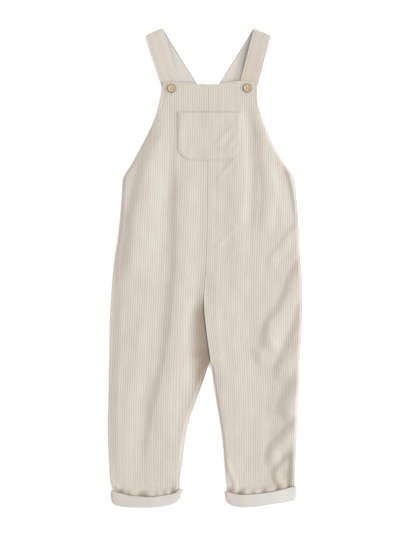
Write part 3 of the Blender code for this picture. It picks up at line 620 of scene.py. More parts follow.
# ---- outline ----
def side_of(x):
    """-1 left of the middle, 1 right of it."""
    return -1 if x < 0.0 else 1


def side_x(side, y):
    """X of the outer edge; side is -1 for left and 1 for right."""
    name = SIDES[side]
    return np.where(np.asarray(y) >= CROTCH_Y, curve(BODY, y, "y", name),
                    curve(LEGS, y, "y", name))


def inseam_x(side, y):
    """X of a leg's inner edge, below the crotch."""
    return curve(LEGS, y, "y", SIDES[side] + "_inseam")


def seam_x(y):
    """X of the centre seam, carried straight on below the crotch."""
    return curve(BODY, y, "y", "seam")


def drift_x(beside, y):
    """How far the wales on one side of the seam stray at height y."""
    return np.where(beside < 0.0, curve(DRIFT, y, "y", "left"), curve(DRIFT, y, "y", "right"))


def column_x(u, y):
    """X at height y of the wale that lies u from the centre seam."""
    u = np.asarray(u, float)
    pull = np.clip((SEAM_PULL - np.abs(u)) / (SEAM_PULL - SEAM_STRAIGHT), 0.0, 1.0)
    drift = drift_x(u, y)
    return u + drift + (seam_x(y) - drift) * pull


def column_u(x, y):
    """Which wale runs through a point: the inverse of column_x."""
    beside = np.where(x > seam_x(y), 1.0, -1.0)
    drift = drift_x(beside, y)
    x, shift = x - drift, seam_x(y) - drift
    reach = SEAM_PULL - SEAM_STRAIGHT
    pulled = (x - shift * SEAM_PULL / reach) / (1.0 - beside * shift / reach)
    straight = x - shift
    u = np.where(np.abs(straight) <= SEAM_STRAIGHT, straight, pulled)
    return np.where(np.abs(u) >= SEAM_PULL, x, u)


def hem_y(side, x):
    """Y at which a leg's cloth ends, inside its cuff."""
    return curve(CUFFS[side], x, "x", "bottom") + CUFF_LIP + SEAM


def above_rim(side, x, y):
    """Height above a cuff's rim."""
    return y - curve(CUFFS[side], x, "x", "rim")


def length_along(points):
    """How far along a chain each of its points lies."""
    runs = np.hypot(*np.diff(points, axis=0).T)
    return np.concatenate(([0.0], np.cumsum(runs)))


def resampled(points, step):
    """The same chain with points at most a step apart, both ends kept."""
    points = np.array(points, float)
    at = length_along(points)
    count = max(2, int(math.ceil(at[-1] / step)) + 1)
    wanted = np.linspace(0.0, at[-1], count)
    return np.column_stack([np.interp(wanted, at, points[:, k]) for k in range(2)])


def outline_of(runs):
    """Closed outline of a panel from its edges, which are Runs.

    Gives the points, counter-clockwise, each point's finish, and the area.
    """
    trimmed = []
    for before, run in zip([runs[-1], *runs], runs):
        chain = resampled(run.points, OUTLINE_STEP * 0.5)
        from_start = np.hypot(*(chain - chain[0]).T)
        from_end = np.hypot(*(chain - chain[-1]).T)
        kept = chain[(from_start > before.corner) & (from_end > run.corner)]
        trimmed.append((resampled(kept, OUTLINE_STEP), run.finish, chain[-1], run.corner))
    points, hems = [], []
    for k, (chain, hem, tip, corner) in enumerate(trimmed):
        points.append(chain)
        hems.append(np.full(len(chain), float(hem)))
        following, next_hem = trimmed[(k + 1) % len(trimmed)][:2]
        t = np.linspace(0.0, 1.0, CORNER_STEPS)[1:-1, None]
        bend = (1 - t) ** 2 * chain[-1] + 2 * t * (1 - t) * tip + t * t * following[0]
        if corner > 0.0:
            points.append(bend)
            hems.append(hem + (next_hem - hem) * t[:, 0])
    points, hems = np.vstack(points), np.concatenate(hems)
    apart = np.hypot(*(points - np.roll(points, 1, axis=0)).T) > NEAREST_POINTS
    points, hems = points[apart], hems[apart]
    ahead = np.roll(points, -1, axis=0)
    area = 0.5 * np.sum(points[:, 0] * ahead[:, 1] - points[:, 1] * ahead[:, 0])
    if area < 0.0:
        points, hems = points[::-1], hems[::-1]
    return points, hems, abs(area)


def inset_of(points, width):
    """Outline moved inwards by a width, one point for each of its points."""
    before = points - np.roll(points, 1, axis=0)
    after = np.roll(points, -1, axis=0) - points
    first = np.column_stack([-before[:, 1], before[:, 0]])
    second = np.column_stack([-after[:, 1], after[:, 0]])
    first /= np.hypot(*first.T)[:, None]
    second /= np.hypot(*second.T)[:, None]
    both = first + second
    share = np.maximum(STEEPEST_CORNER, 1.0 + np.sum(first * second, axis=1))
    return points + width * both / share[:, None]


# ---- lie of the front ----
def edge_distance(side, x, y):
    """Distance inwards from the nearest side edge or inseam."""
    edge, below = side_x(side, y), side_x(side, y - 1.0)
    nearest = (edge - x) * side / np.hypot(1.0, edge - below)
    inner, below = inseam_x(side, y), inseam_x(side, y - 1.0)
    inwards = (x - inner) * side / np.hypot(1.0, inner - below)
    return np.where(y < CROTCH_Y, np.minimum(nearest, inwards), nearest)


def edge_rise(side, x, y):
    """0 at a half's side edge and inseam, 1 on the level cloth between them."""
    width = curve(EDGE_ROUNDING, y, "y", SIDES[side])
    outer = smooth((side_x(side, y) - x) * side / width)
    inner = smooth((x - inseam_x(side, y)) * side / INSEAM_ROUNDING[side])
    below = smooth((CROTCH_Y - y) / CROTCH_FADE)
    return outer * (1.0 - below * (1.0 - inner))


def seat(y):
    """Lowest height at which the front clears what lies under it."""
    y = np.asarray(y)
    return np.where(y >= STRAP_ZONE_Y, BIB_SEAT,
                    np.where(y <= CUFF_ZONE_Y, CUFF_SEAT, BODY_SEAT))


def fold_height(folds, x, y):
    """Folds and creases together, above or below the plain lie."""
    total = np.zeros(np.shape(x))
    for fold in folds:
        away, side, along, length = nearest_on_path(x, y, fold.path)
        reach = np.minimum(1.0, away / np.where(side > 0.0, fold.east, fold.west))
        fading = smooth(np.minimum(along, length - along) / fold.fade)
        total += fold.height * fading * (1.0 - reach ** 2) ** 2
    return total


def wave_height(x, y):
    """Faint unevenness all over."""
    total = np.zeros(np.shape(x))
    for wave in WAVES:
        angle = math.radians(wave.direction)
        run = x * math.cos(angle) + y * math.sin(angle)
        total += wave.height * np.sin(math.tau * run / wave.length + wave.phase)
    return total


def gathers_at(side, x, above):
    """Each gather of a leg, and how near a point is to it: 1 on its line."""
    for gather in GATHERS:
        if gather.x * side > 0.0:
            lift = np.clip(above, GATHER_TUCK, gather.length)
            across = (x - gather.x - gather.lean * lift) / gather.width
            yield gather, np.exp(-across * across)


def gather_height(side, x, y):
    """Puff above a cuff's rim, pinched by its gathers."""
    above = above_rim(side, x, y)
    t = np.clip(above / PUFF_HEIGHT, 0.0, 1.0)
    inset = smooth(edge_distance(side, x, y) / PUFF_INSET)
    total = GATHER_PUFF * PUFF_PEAK * t * (1.0 - t) ** 2 * inset
    for gather, nearness in gathers_at(side, x, above):
        total = total - gather.depth * smooth(1.0 - above / gather.length) * nearness
    return total * smooth((above + PUFF_TUCK) / PUFF_TUCK)


def lie(side, x, y):
    """Height of the front's plain back."""
    rim = curve(REST, y, "y", "rim")
    middle = curve(REST, y, "y", "middle")
    rise = edge_rise(side, x, y)
    folds = fold_height(FRONT_FOLDS[side], x, y) + wave_height(x, y) * rise
    height = rim + (middle - rim) * rise + folds * smooth(above_rim(side, x, y) / CUFF_FADE)
    return np.maximum(height + gather_height(side, x, y), seat(y))


def fold_shade(side, x, y):
    """How little light reaches the cloth: 1 deepest in the fold at the crotch."""
    above = above_rim(side, x, y)
    total = np.zeros(np.shape(x))
    for gather, nearness in gathers_at(side, x, above):
        near_rim = smooth(1.0 - above / GATHER_SHADE_HEIGHT)
        total += gather.depth / SHADED_GATHER * near_rim * nearness
    if side < 0:
        shades, edge = CROTCH_SHADE, np.where(y > CROTCH_Y, seam_x(y), inseam_x(side, y))
    else:
        shades, edge = SIDE_SHADE, side_x(side, y)
    reach = curve(shades, y, "y", "reach")
    near_edge = smooth(SHADE_FULLNESS * (1.0 - (edge - x) / reach))
    return np.clip(total + curve(shades, y, "y", "depth") * near_edge, 0.0, 1.0)


def front_looks(side, x, y):
    """What the cloth's colour depends on: painted shade, and painted light and shade by which way
    its surface is turned to the light.
    """
    rise = lie(side, x + TURN_STEP, y) - lie(side, x - TURN_STEP, y)
    slope = rise / (2.0 * TURN_STEP) * edge_rise(side, x, y)
    turned = np.clip(0.5 + TURN_GAIN * slope, 0.0, 1.0)
    return {"fold_shade": fold_shade(side, x, y), "turned": turned}


def wale_height(u):
    """0 in a groove, 1 on a crest; the centre seam lies in a groove."""
    t = np.mod(np.asarray(u, float) / WALE_PITCH, 1.0)
    form = (1.0 - np.abs(2.0 * t - 1.0) ** WALE_SIDE) ** (1.0 / WALE_TOP)
    return GROOVE_FILL + (1.0 - GROOVE_FILL) * form


def rolled(depth, radius=ROLL_RADIUS):
    """Share of the full thickness this far in from a rolled edge."""
    inwards = 1.0 - np.minimum(depth, radius) / radius
    return np.sqrt(1.0 - inwards ** 2)


# ---- shells ----
def zip_chains(first, second):
    """Triangles between two chains of (position, vertex) that run the same way."""
    i = j = 0
    triangles = []
    if not first or not second:
        return triangles
    while i < len(first) - 1 or j < len(second) - 1:
        go_first = j == len(second) - 1
        if i < len(first) - 1 and not go_first:
            go_first = first[i + 1][0] + first[i][0] <= second[j + 1][0] + second[j][0]
        if go_first:
            triangles.append((first[i][1], second[j][1], first[i + 1][1]))
            i += 1
        else:
            triangles.append((first[i][1], second[j][1], second[j + 1][1]))
            j += 1
    return triangles


class Loop:
    """Closed rim of a panel with a point where each column meets it.

    outer and inner are the same points on the outline and on its inset, both
    as rows of x and y; hem is the edge's finish there.
    """

    def __init__(self, outline, hems, us):
        inset = inset_of(outline, RIM_WIDTH)
        inset_u = column_u(inset[:, 0], inset[:, 1])
        count = len(outline)
        marks = set(np.arange(count, dtype=float))
        self.columns = []
        for u in us:
            ahead = np.roll(inset_u, -1)
            hits = np.nonzero((inset_u - u) * (ahead - u) < 0.0)[0]
            if len(hits) < 2:
                continue
            at = hits + (u - inset_u[hits]) / (ahead[hits] - inset_u[hits])
            heights = self.between(inset, at)[:, 1]
            if np.ptp(heights) < SHORTEST_COLUMN:
                continue
            low, high = at[np.argmin(heights)], at[np.argmax(heights)]
            self.columns.append([u, low, high])
            marks |= {low, high}
        places = np.array(sorted(marks))
        gaps = np.diff(places, append=places[0] + count)
        places = places[gaps > SAME_PLACE]
        self.outer = self.between(outline, places)
        self.inner = self.between(inset, places)
        self.hem = self.between(hems[:, None], places)[:, 0]
        for column in self.columns:
            column[1] = int(np.argmin(np.abs(places - column[1])))
            column[2] = int(np.argmin(np.abs(places - column[2])))

    @staticmethod
    def between(points, at):
        """Points at fractional places along a closed chain."""
        i = np.floor(at).astype(int) % len(points)
        t = (at - np.floor(at))[:, None]
        return points[i] * (1.0 - t) + points[(i + 1) % len(points)] * t

    def walk(self, start, end):
        """Loop points strictly between two of its points, going forwards."""
        count = len(self.outer)
        return [k % count for k in range(start + 1, start + ((end - start) % count))]


def fill(loop, columns, rows, first_vertex):
    """Triangles over the inside of a loop, and the (u, y) of the points added.

    Loop points are vertices 0, 1, 2 ... in the triangles, and added points are
    numbered on from first_vertex.
    """
    added, chains = [], []
    for u, low, high in columns:
        bottom, top = loop.inner[low][1], loop.inner[high][1]
        chain = [(bottom, low)]
        for before, row, after in zip(rows, rows[1:], rows[2:]):
            lowest = bottom + ROW_CLEAR * (row - before)
            if lowest < row < top - ROW_CLEAR * (after - row):
                chain.append((row, first_vertex + len(added)))
                added.append((u, row))
        chains.append(chain + [(top, high)])

    def edge(start, end):
        return [(loop.inner[k][1], k) for k in loop.walk(start, end)]

    def edge_between(start, end):
        """The same, but nothing where two column ends have changed places."""
        way = edge(start, end)
        return way if 2 * len(way) < len(loop.outer) else []

    triangles = []
    for j in range(len(columns) - 1):
        left, right = list(chains[j]), list(chains[j + 1])
        low = edge_between(columns[j][1], columns[j + 1][1])
        high = edge_between(columns[j + 1][2], columns[j][2])
        if left[0][0] < right[0][0]:
            right = low + right
        else:
            left = low[::-1] + left
        if left[-1][0] > right[-1][0]:
            right = right + high
        else:
            left = left + high[::-1]
        triangles += zip_chains(left, right)
    first, last = columns[0], columns[-1]
    triangles += zip_chains(edge(first[2], first[1])[::-1], chains[0])
    triangles += zip_chains(chains[-1], edge(last[1], last[2]))
    return triangles, added


# ---- meshes ----
def linked(name, data):
    """A new object in the scene."""
    thing = bpy.data.objects.new(name, data)
    bpy.context.scene.collection.objects.link(thing)
    return thing


def plain_mesh(name, spots, faces, material):
    """Object of one material, such as a button or thread."""
    data = bpy.data.meshes.new(name)
    data.from_pydata([tuple(c * LENGTH_UNIT for c in spot) for spot in spots], [], faces)
    data.materials.append(material)
    data.shade_smooth()
    data.set_sharp_from_angle(angle=TRIM_SHARP_ANGLE)
    return linked(name, data)


def make_piece(name, points, triangles, materials, wales, strength, plain=None, looks=None):
    """Object of cloth with smooth shading.

    wales gives each point's place on the cloth in wales across and along,
    strength how far its wales stand up.  looks holds what else its colour
    depends on: fold_shade, 1 where hardly any light reaches, and turned, 0
    where it faces the light and 1 where it faces away.  plain marks triangles
    that show the wrong side.
    """
    data = bpy.data.meshes.new(name)
    triangles = np.asarray(triangles, dtype=np.int32)
    data.from_pydata((np.asarray(points) * LENGTH_UNIT).tolist(), [], triangles.tolist())
    for material in materials:
        data.materials.append(material)
    layer = data.uv_layers.new(name="cloth")
    layer.data.foreach_set("uv", np.asarray(wales, np.float32)[triangles.ravel()].ravel())
    level = np.ones(len(points))
    given = {"wale_strength": strength, "fold_shade": 0.0 * level, "turned": 0.5 * level,
             **(looks or {})}
    for key, values in given.items():
        attribute = data.attributes.new(key, "FLOAT", "POINT")
        attribute.data.foreach_set("value", np.asarray(values, np.float32))
    if plain is not None:
        data.polygons.foreach_set("material_index", np.asarray(plain, np.int32))
    data.shade_smooth()
    data.set_sharp_from_angle(angle=SHARP_ANGLE)
    return linked(name, data)


def strip(inside, outside):
    """Triangles between two closed rings, the second one further out."""
    a, b = np.asarray(inside), np.asarray(outside)
    a_next, b_next = np.roll(a, -1), np.roll(b, -1)
    return np.vstack([np.column_stack([a, b, b_next]), np.column_stack([a, b_next, a_next])])


def wale_columns(low, high, shares):
    """Column positions from low to high, at the same shares of every wale."""
    first = int(math.floor(low / WALE_PITCH)) - 1
    last = int(math.ceil(high / WALE_PITCH)) + 1
    between = sorted((k + share) * WALE_PITCH for k in range(first, last) for share in shares)
    clear = EDGE_COLUMNS[-1] + EDGE_COLUMNS[0]
    between = [u for u in between if low + clear < u < high - clear]
    return [*(low + d for d in EDGE_COLUMNS), *between, *(high - d for d in EDGE_COLUMNS[::-1])]


def flipped(faces):
    """The same faces, seen from their other side."""
    return [face[:1] + face[:0:-1] for face in faces]


Cut = namedtuple("Cut", "width length area")


def cut_of(width, length, area):
    """Flat size of a piece of cloth, from mm to metres."""
    return Cut(float(width) * LENGTH_UNIT, float(length) * LENGTH_UNIT,
               float(area) * LENGTH_UNIT ** 2)


def panel(name, runs, shares, rows, surface, upside=1.0, looks_of=None):
    """Closed wall of cloth over an outline, rolled over at every edge.

    surface(x, y, u) gives the height of the plain side, the thickness and how
    far the wales stand up.  upside is -1 for a panel that lies face down.
    Returns the object and the area of its outline in square metres.
    """
    outline, hems, area = outline_of(runs)
    inset = inset_of(outline, RIM_WIDTH)
    inset_u = column_u(inset[:, 0], inset[:, 1])
    loop = Loop(outline, hems, wale_columns(inset_u.min(), inset_u.max(), shares))
    count = len(loop.outer)
    ring = np.arange(count)
    coarse = [c for k, c in enumerate(loop.columns)
              if k % INNER_SKIP == 0 or k in (1, len(loop.columns) - 2, len(loop.columns) - 1)]

    spots, depths, inner = [loop.inner], [np.full(count, RIM_WIDTH)], [np.zeros(count)]

    def add(points, depth, is_inner):
        first = sum(len(part) for part in spots)
        spots.append(np.asarray(points, float))
        depths.append(np.full(len(points), depth))
        inner.append(np.full(len(points), float(is_inner)))
        return first + np.arange(len(points))

    def at_depth(depth):
        return loop.outer + (loop.inner - loop.outer) * depth / RIM_WIDTH

    face, added = fill(loop, loop.columns, rows, count)
    face_points = np.column_stack([column_x(*np.array(added).T), np.array(added)[:, 1]])
    add(face_points, RIM_WIDTH, False)
    triangles = [np.array(face)]
    before = ring
    for depth in RIM_DEPTHS:
        after = add(at_depth(depth), depth, False)
        triangles.append(strip(before, after))
        before = after
    face_count = sum(len(part) for part in triangles)

    beneath = []
    after = add(at_depth(INNER_RIM_DEPTH), INNER_RIM_DEPTH, True)
    beneath.append(strip(after, before))
    before, after = after, add(loop.inner, RIM_WIDTH, True)
    beneath.append(strip(after, before))
    first = sum(len(part) for part in spots)
    under, added = fill(loop, coarse, rows[::INNER_ROW_SKIP], first)
    add(np.column_stack([column_x(*np.array(added).T), np.array(added)[:, 1]]), RIM_WIDTH, True)
    under = np.array(under)
    beneath.append(np.where(under < count, under + after[0], under))
    triangles += [part[:, ::-1] for part in beneath]

    spots, depths, inner = np.vstack(spots), np.concatenate(depths), np.concatenate(inner)
    triangles = np.vstack(triangles)
    if upside < 0.0:
        triangles = triangles[:, ::-1]
    hem = hem_of(loop, len(spots), count + len(face_points))
    x, y = spots.T
    u = column_u(x, y)
    plain_side, thickness, strength = surface(x, y, u)
    roll = rolled(depths)
    turned_under = SEAM_EDGE + np.where(hem < 0.0, -PRESSED_SEAM, 0.5 - SEAM_EDGE) * hem
    outer_share = turned_under + (1.0 - turned_under) * roll
    inner_share = 0.5 * np.maximum(hem, 0.0) * (1.0 - roll)
    share = np.where(inner > 0.5, inner_share, outer_share)
    z = plain_side + upside * thickness * share
    is_plain = np.zeros(len(triangles), int)
    is_plain[face_count:] = 1
    looks = looks_of(x, y) if looks_of else None
    thing = make_piece(name, np.column_stack([x, y, z]), triangles, [CORDUROY, PLAIN_SIDE],
                       np.column_stack([u, y]) / WALE_PITCH, strength, is_plain, looks)
    return thing, cut_of(*np.ptp(outline, axis=0), area)


def lay_panel(name, under, runs, shares, rows, surface, **more):
    """A panel that stands for the CAD node of this name, laid on what is under it.  under is not
    used.
    """
    thing, cut = panel("cloth_" + name, runs, shares, rows, surface, **more)
    stands_for(thing, name)


def stands_for(thing, name):
    """Let a piece stand for the CAD node of this name: hang it under the root and hide that node.
    """
    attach(thing, ROOT)
    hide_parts(name)


def hem_of(loop, points, first_rim):
    """Finish of every point of a panel, in the order panel() adds them."""
    count = len(loop.hem)
    hem = np.zeros(points)
    hem[:count] = loop.hem
    for start in range(first_rim, first_rim + (len(RIM_DEPTHS) + 2) * count, count):
        hem[start:start + count] = loop.hem
    return hem


def rows_of(spacing):
    """Row heights; the last one in spacing is the height they reach."""
    rows = [spacing[0].start]
    while rows[-1] < spacing[-1].start:
        step = [part.step for part in spacing if rows[-1] >= part.start][-1]
        rows.append(rows[-1] + step)
    return rows


# ---- fronts ----
def upright(x_of, start, end, count):
    """Chain of points from one height to another, X as x_of gives it."""
    ys = np.linspace(start, end, count)
    return np.column_stack([x_of(ys), ys])


def leg_runs(side, top_y, inseam_top_y, inset=0.0):
    """A half's side seam from top_y down, the end of its leg, and its inseam."""
    def outer(y):
        return side_x(side, y) - side * inset

    def inner(y):
        return inseam_x(side, y) + side * inset

    xs = np.linspace(outer(LEG_END_Y), inner(LEG_END_Y), TOP_POINTS)
    end = np.column_stack([xs, hem_y(side, xs)])
    return [Run(upright(outer, top_y, LEG_END_Y, SIDE_POINTS), SEAMED, SIDE_CORNER),
            Run(end, SEAMED, SIDE_CORNER),
            Run(upright(inner, LEG_END_Y, inseam_top_y, INSEAM_POINTS), SEAMED, CROTCH_CORNER)]


def centre_x(side):
    """Function that gives X of a half's edge at the centre seam."""
    return lambda y: seam_x(y) + side * 0.5 * SEWN_GAP


def front_runs(side):
    """The edges of a front half, in order."""
    xs = np.linspace(centre_x(side)(TOP_Y), side_x(side, BIB_CORNER_Y), TOP_POINTS)
    top = np.column_stack([xs, curve(BIB_TOP, xs, "x", "y")])
    armhole = upright(lambda y: side_x(side, y), top[-1, 1], UNDERARM_Y, ARMHOLE_POINTS)
    centre = upright(centre_x(side), CROTCH_Y, POCKET_TOP, CENTRE_POINTS)
    neck = upright(centre_x(side), POCKET_TOP + NECK_GAP, top[0, 1], NECK_POINTS)
    return [Run(top, HEMMED, BIB_CORNER), Run(armhole, HEMMED, 0.0),
            *leg_runs(side, UNDERARM_Y, CROTCH_Y - CROTCH_GAP),
            Run(centre, SEAMED, 0.0), Run(neck, PRESSED, NECK_CORNER)]


def hem_lines(side):
    """The chains along which a front half is hemmed: its armhole and its top."""
    heights = np.arange(UNDERARM_Y, TOP_Y + 1.0, OUTLINE_STEP)
    armhole = np.column_stack([side_x(side, heights), heights])[::-1]
    low, high = (BIB_TOP[0].x, 0.0) if side < 0 else (0.0, BIB_TOP[-1].x)
    xs = np.arange(low, high, OUTLINE_STEP)
    return armhole, np.column_stack([xs, curve(BIB_TOP, xs, "x", "y")])


def hem_form(away, hem):
    """How far wales stand up beside a hemmed edge, and the cloth's extra height."""
    over_hem = smooth((hem.width + HEM_MARGIN - away) / HEM_SOFTNESS)
    strength = 1.0 - (1.0 - hem.wale) * over_hem
    puff = hem.puff * smooth(away / HEM_PUFF_OUTER)
    puff = puff * smooth((hem.width - away) / HEM_PUFF_INNER)
    groove = hem.groove * np.exp(-((away - hem.width) / HEM_GROOVE_WIDTH) ** 2)
    return strength, puff - groove


def front_surface(side):
    """Function that gives a front half's surface, as panel() wants it."""
    armhole, top = hem_lines(side)

    def surface(x, y, u):
        strength, extra = hem_form(nearest_on_path(x, y, armhole)[0], ARMHOLE_HEM[side])
        top_strength, top_extra = hem_form(nearest_on_path(x, y, top)[0], TOP_HEM)
        strength = np.minimum(strength, top_strength)
        thickness = WALL + WALE * wale_height(u) * strength + extra + top_extra
        return lie(side, x, y), thickness, strength

    return surface


def make_front(name, side):
    lay_panel(name, ("back_" + SIDES[side],), front_runs(side), COLUMNS_IN_WALE,
              rows_of(FRONT_ROWS), front_surface(side),
              looks_of=lambda x, y: front_looks(side, x, y))


# ---- backs ----
def back_lift(y):
    """Height of the back's underside: flat, but lifted inside the cuffs."""
    run = BACK_RAMP_TOP_Y - BACK_RAMP_BOTTOM_Y
    return CUFF_BACK_LIFT * np.clip((BACK_RAMP_TOP_Y - y) / run, 0.0, 1.0)


def back_surface(x, y, u):
    """The back lies face down, with a few creases lifted off the surface."""
    thickness = WALL - WALE + WALE * wale_height(u)
    lifted = WALL + back_lift(y) + fold_height(BACK_BENDS, x, y)
    return lifted, thickness, np.ones(np.shape(x))


def back_runs(side):
    """The edges of a back half, in order."""
    name = SIDES[side]
    armhole_end = BACK_ARMHOLES[-1].y
    top = [(float(centre_x(side)(BACK_TOP_Y)), BACK_TOP_Y),
           (getattr(BACK_ARMHOLES[0], name), BACK_TOP_Y)]
    armhole = upright(lambda y: curve(BACK_ARMHOLES, y, "y", name), BACK_TOP_Y, armhole_end,
                      ARMHOLE_POINTS)
    centre = upright(centre_x(side), CROTCH_Y - CROTCH_GAP, BACK_TOP_Y, BACK_CENTRE_POINTS)
    return [Run(top, SEAMED, BACK_CORNER), Run(armhole, HEMMED, SIDE_CORNER),
            *leg_runs(side, armhole_end - 1.0, CROTCH_Y - 3.0 * CROTCH_GAP, BACK_EDGE_INSET),
            Run(centre, SEAMED, NECK_CORNER)]


def make_back(name, side):
    lay_panel(name, (), back_runs(side), COARSE_IN_WALE, rows_of(BACK_ROWS), back_surface,
              upside=-1.0)


# ---- pocket ----
def pocket_outline():
    """Sides, round lower corners and top of the patch, as one closed run."""
    quarter = np.radians(np.linspace(0.0, 90.0, POCKET_CORNER_POINTS))
    bends = []
    for edge_x, radius in ((POCKET_LEFT, POCKET_CORNER_LEFT),
                           (POCKET_RIGHT, -POCKET_CORNER_RIGHT)):
        bends.append(np.column_stack([edge_x + radius * (1 - np.cos(quarter)),
                                      POCKET_BOTTOM + abs(radius) * (1 - np.sin(quarter))]))
    return np.vstack([[(POCKET_LEFT, POCKET_TOP)], bends[0], bends[1][::-1],
                      [(POCKET_RIGHT, POCKET_TOP)]])


def stitch_line(away, depth):
    """How deep a row of stitches pulls the cloth in, this far from the row."""
    return depth * np.exp(-(away / STITCH_LINE) ** 2)


def pocket_surface(x, y, u):
    """Surface of the pocket, as panel() wants it."""
    from_sewn = nearest_on_path(x, y, pocket_outline())[0]
    from_top = POCKET_TOP - y
    strength, extra = hem_form(np.maximum(from_top, 0.0), POCKET_HEM)
    open_top = (POCKET_OPENING * smooth(1.0 - from_top / POCKET_OPEN_HEIGHT)
                * smooth(from_sewn / POCKET_OPEN_INSET))
    sewn_down = (POCKET_SEWN_DOWN * smooth(1.0 - from_sewn / POCKET_PRESSED)
                 * smooth(from_top / POCKET_PRESSED_TOP))
    base = lie(1, x, y) + WALL + WALE + POCKET_CLEAR + open_top - sewn_down
    stitched = stitch_line(from_sewn - POCKET_STITCH_IN, POCKET_STITCH_DEPTH)
    thickness = WALL + WALE * wale_height(u) * strength + extra - stitched
    return base, thickness, strength


def make_pocket():
    top = [(POCKET_RIGHT, POCKET_TOP), (POCKET_LEFT, POCKET_TOP)]
    runs = [Run(top, HEMMED, POCKET_CORNER), Run(pocket_outline(), HEMMED, POCKET_CORNER)]
    # the pocket takes the front's painted light and shade by slope
    lay_panel("pocket", ("front_left", "front_right"), runs, COLUMNS_IN_WALE,
              rows_of(POCKET_ROWS), pocket_surface,
              looks_of=lambda x, y: {"turned": front_looks(1, x, y)["turned"]})


# ---- straps ----
class Strip:
    """Where a strap's cloth lies: down behind the bib, up, over and down the back."""

    def __init__(self, strap):
        front, fold = math.radians(strap.front_angle), math.radians(strap.fold_angle)
        self.outermost = STRAP_FOLD_RADIUS + 0.5 * WALL
        self.along = np.array([math.sin(front), -math.cos(front)])
        self.across = np.array([math.cos(front), math.sin(front)])
        self.normal = np.array([math.sin(fold), -math.cos(fold)])
        self.origin = np.array([strap.fold_x, strap.fold_y]) + self.normal * self.outermost
        self.turn = math.pi * STRAP_FOLD_RADIUS

    def flat(self, t, beyond):
        """Point of the uncreased strip, t across it and beyond past the fold."""
        length = (-beyond - t * (self.across @ self.normal)) / (self.along @ self.normal)
        return self.origin + np.outer(length, self.along) + np.outer(t, self.across)

    def place(self, t, beyond, offset):
        """Point of the folded strip, offset outwards from the middle of its wall."""
        radius, turn = STRAP_FOLD_RADIUS, self.turn
        flat = self.flat(t, beyond)
        level = STRAP_LEVEL - (self.outermost + radius - 0.5 * WALL)
        settle = level * smooth((-beyond - STRAP_SETTLE_FROM) / STRAP_SETTLE)
        angle = np.clip(beyond / radius, 0.0, math.pi)
        turned = np.outer(beyond - (radius + offset) * np.sin(angle), self.normal)
        folded = np.outer(2.0 * beyond - turn, self.normal)
        spot = flat + np.where((beyond > 0.0)[:, None],
                               np.where((beyond < turn)[:, None], turned, folded), 0.0)
        height = self.outermost + (radius + offset) * np.cos(angle)
        return np.column_stack([spot, height + np.where(beyond <= 0.0, settle, 0.0)])

    def back_end(self, t):
        """How far past the fold this column meets the top of the back."""
        t = np.atleast_1d(t)
        near = self.place(t, np.full(t.shape, self.turn), 0.0)
        far = self.place(t, np.full(t.shape, self.turn + STRAP_PROBE), 0.0)
        share = (near[:, 1] - BACK_TOP_Y - SEAM) / (near[:, 1] - far[:, 1])
        return self.turn + STRAP_PROBE * share


def strap_section():
    """Ring round a strap: place across it, depth from its edge, is it the face."""
    half = 0.5 * STRAP_WIDTH
    pitch = STRAP_WIDTH / STRAP_WALES
    face = [(k + share) * pitch - half for k in range(STRAP_WALES) for share in COLUMNS_IN_WALE]
    face = [t for t in face if abs(t) < half - ROLL_RADIUS - STRAP_EDGE_CLEAR]
    edge = [half - depth for depth in (ROLL_RADIUS, *RIM_DEPTHS[1:])]
    face = [-t for t in edge[::-1]] + face + edge
    plain = np.linspace(half - ROLL_RADIUS, ROLL_RADIUS - half, STRAP_PLAIN_COLUMNS)
    plain = [half - INNER_RIM_DEPTH, *plain, INNER_RIM_DEPTH - half]
    ts = np.array(face + plain)
    return ts, half - np.abs(ts), np.array([1] * len(face) + [0] * len(plain))


def strap_rows(strip_of, ends):
    """How far past the fold each ring lies, with a value for each of its points."""
    front = np.linspace(-STRAP_FRONT_LENGTH, 0.0, STRAP_FRONT_ROWS)[:-1]
    turn = np.linspace(0.0, strip_of.turn, STRAP_TURN_ROWS)[:-1]
    rows = [np.full(ends.shape, beyond) for beyond in (*front, *turn)]
    shares = np.linspace(0.0, 1.0, STRAP_BACK_ROWS)
    return rows + [strip_of.turn + (ends - strip_of.turn) * share for share in shares]


def strap_offset(beyond, wales, depth, is_face, turn):
    """How far a strap's points lie outwards from the middle of its wall.

    Past the fold it is thinner by a wale's height, so that its crests, which lie
    below there, keep clear of the back.
    """
    wale = WALE * (STRAP_WALE * wale_height(wales * WALE_PITCH) - smooth(beyond / turn))
    stitched = stitch_line(depth - STRAP_STITCH_IN, STRAP_STITCH_DEPTH)
    share = 0.5 + (is_face - 0.5) * rolled(depth)
    return -0.5 * WALL + (WALL + wale - stitched) * share


def strap_shade(strap, strip_of, points, beyond, depth):
    """Painted shade on the plain side: how dark it is at its rim and beside the strap's front
    part.
    """
    at_rim = strap.rim * smooth((STRAP_RIM_SHADE - depth) / STRAP_RIM_SOFTNESS)
    beside = np.abs((points[:, :2] - strip_of.origin) @ strip_of.across) - 0.5 * STRAP_WIDTH
    near = smooth(STRAP_SHADE_FULLNESS * (1.0 - beside / STRAP_SHADE_REACH))
    return np.maximum(at_rim, strap.shade * near * smooth(beyond / STRAP_SHADE_FROM))


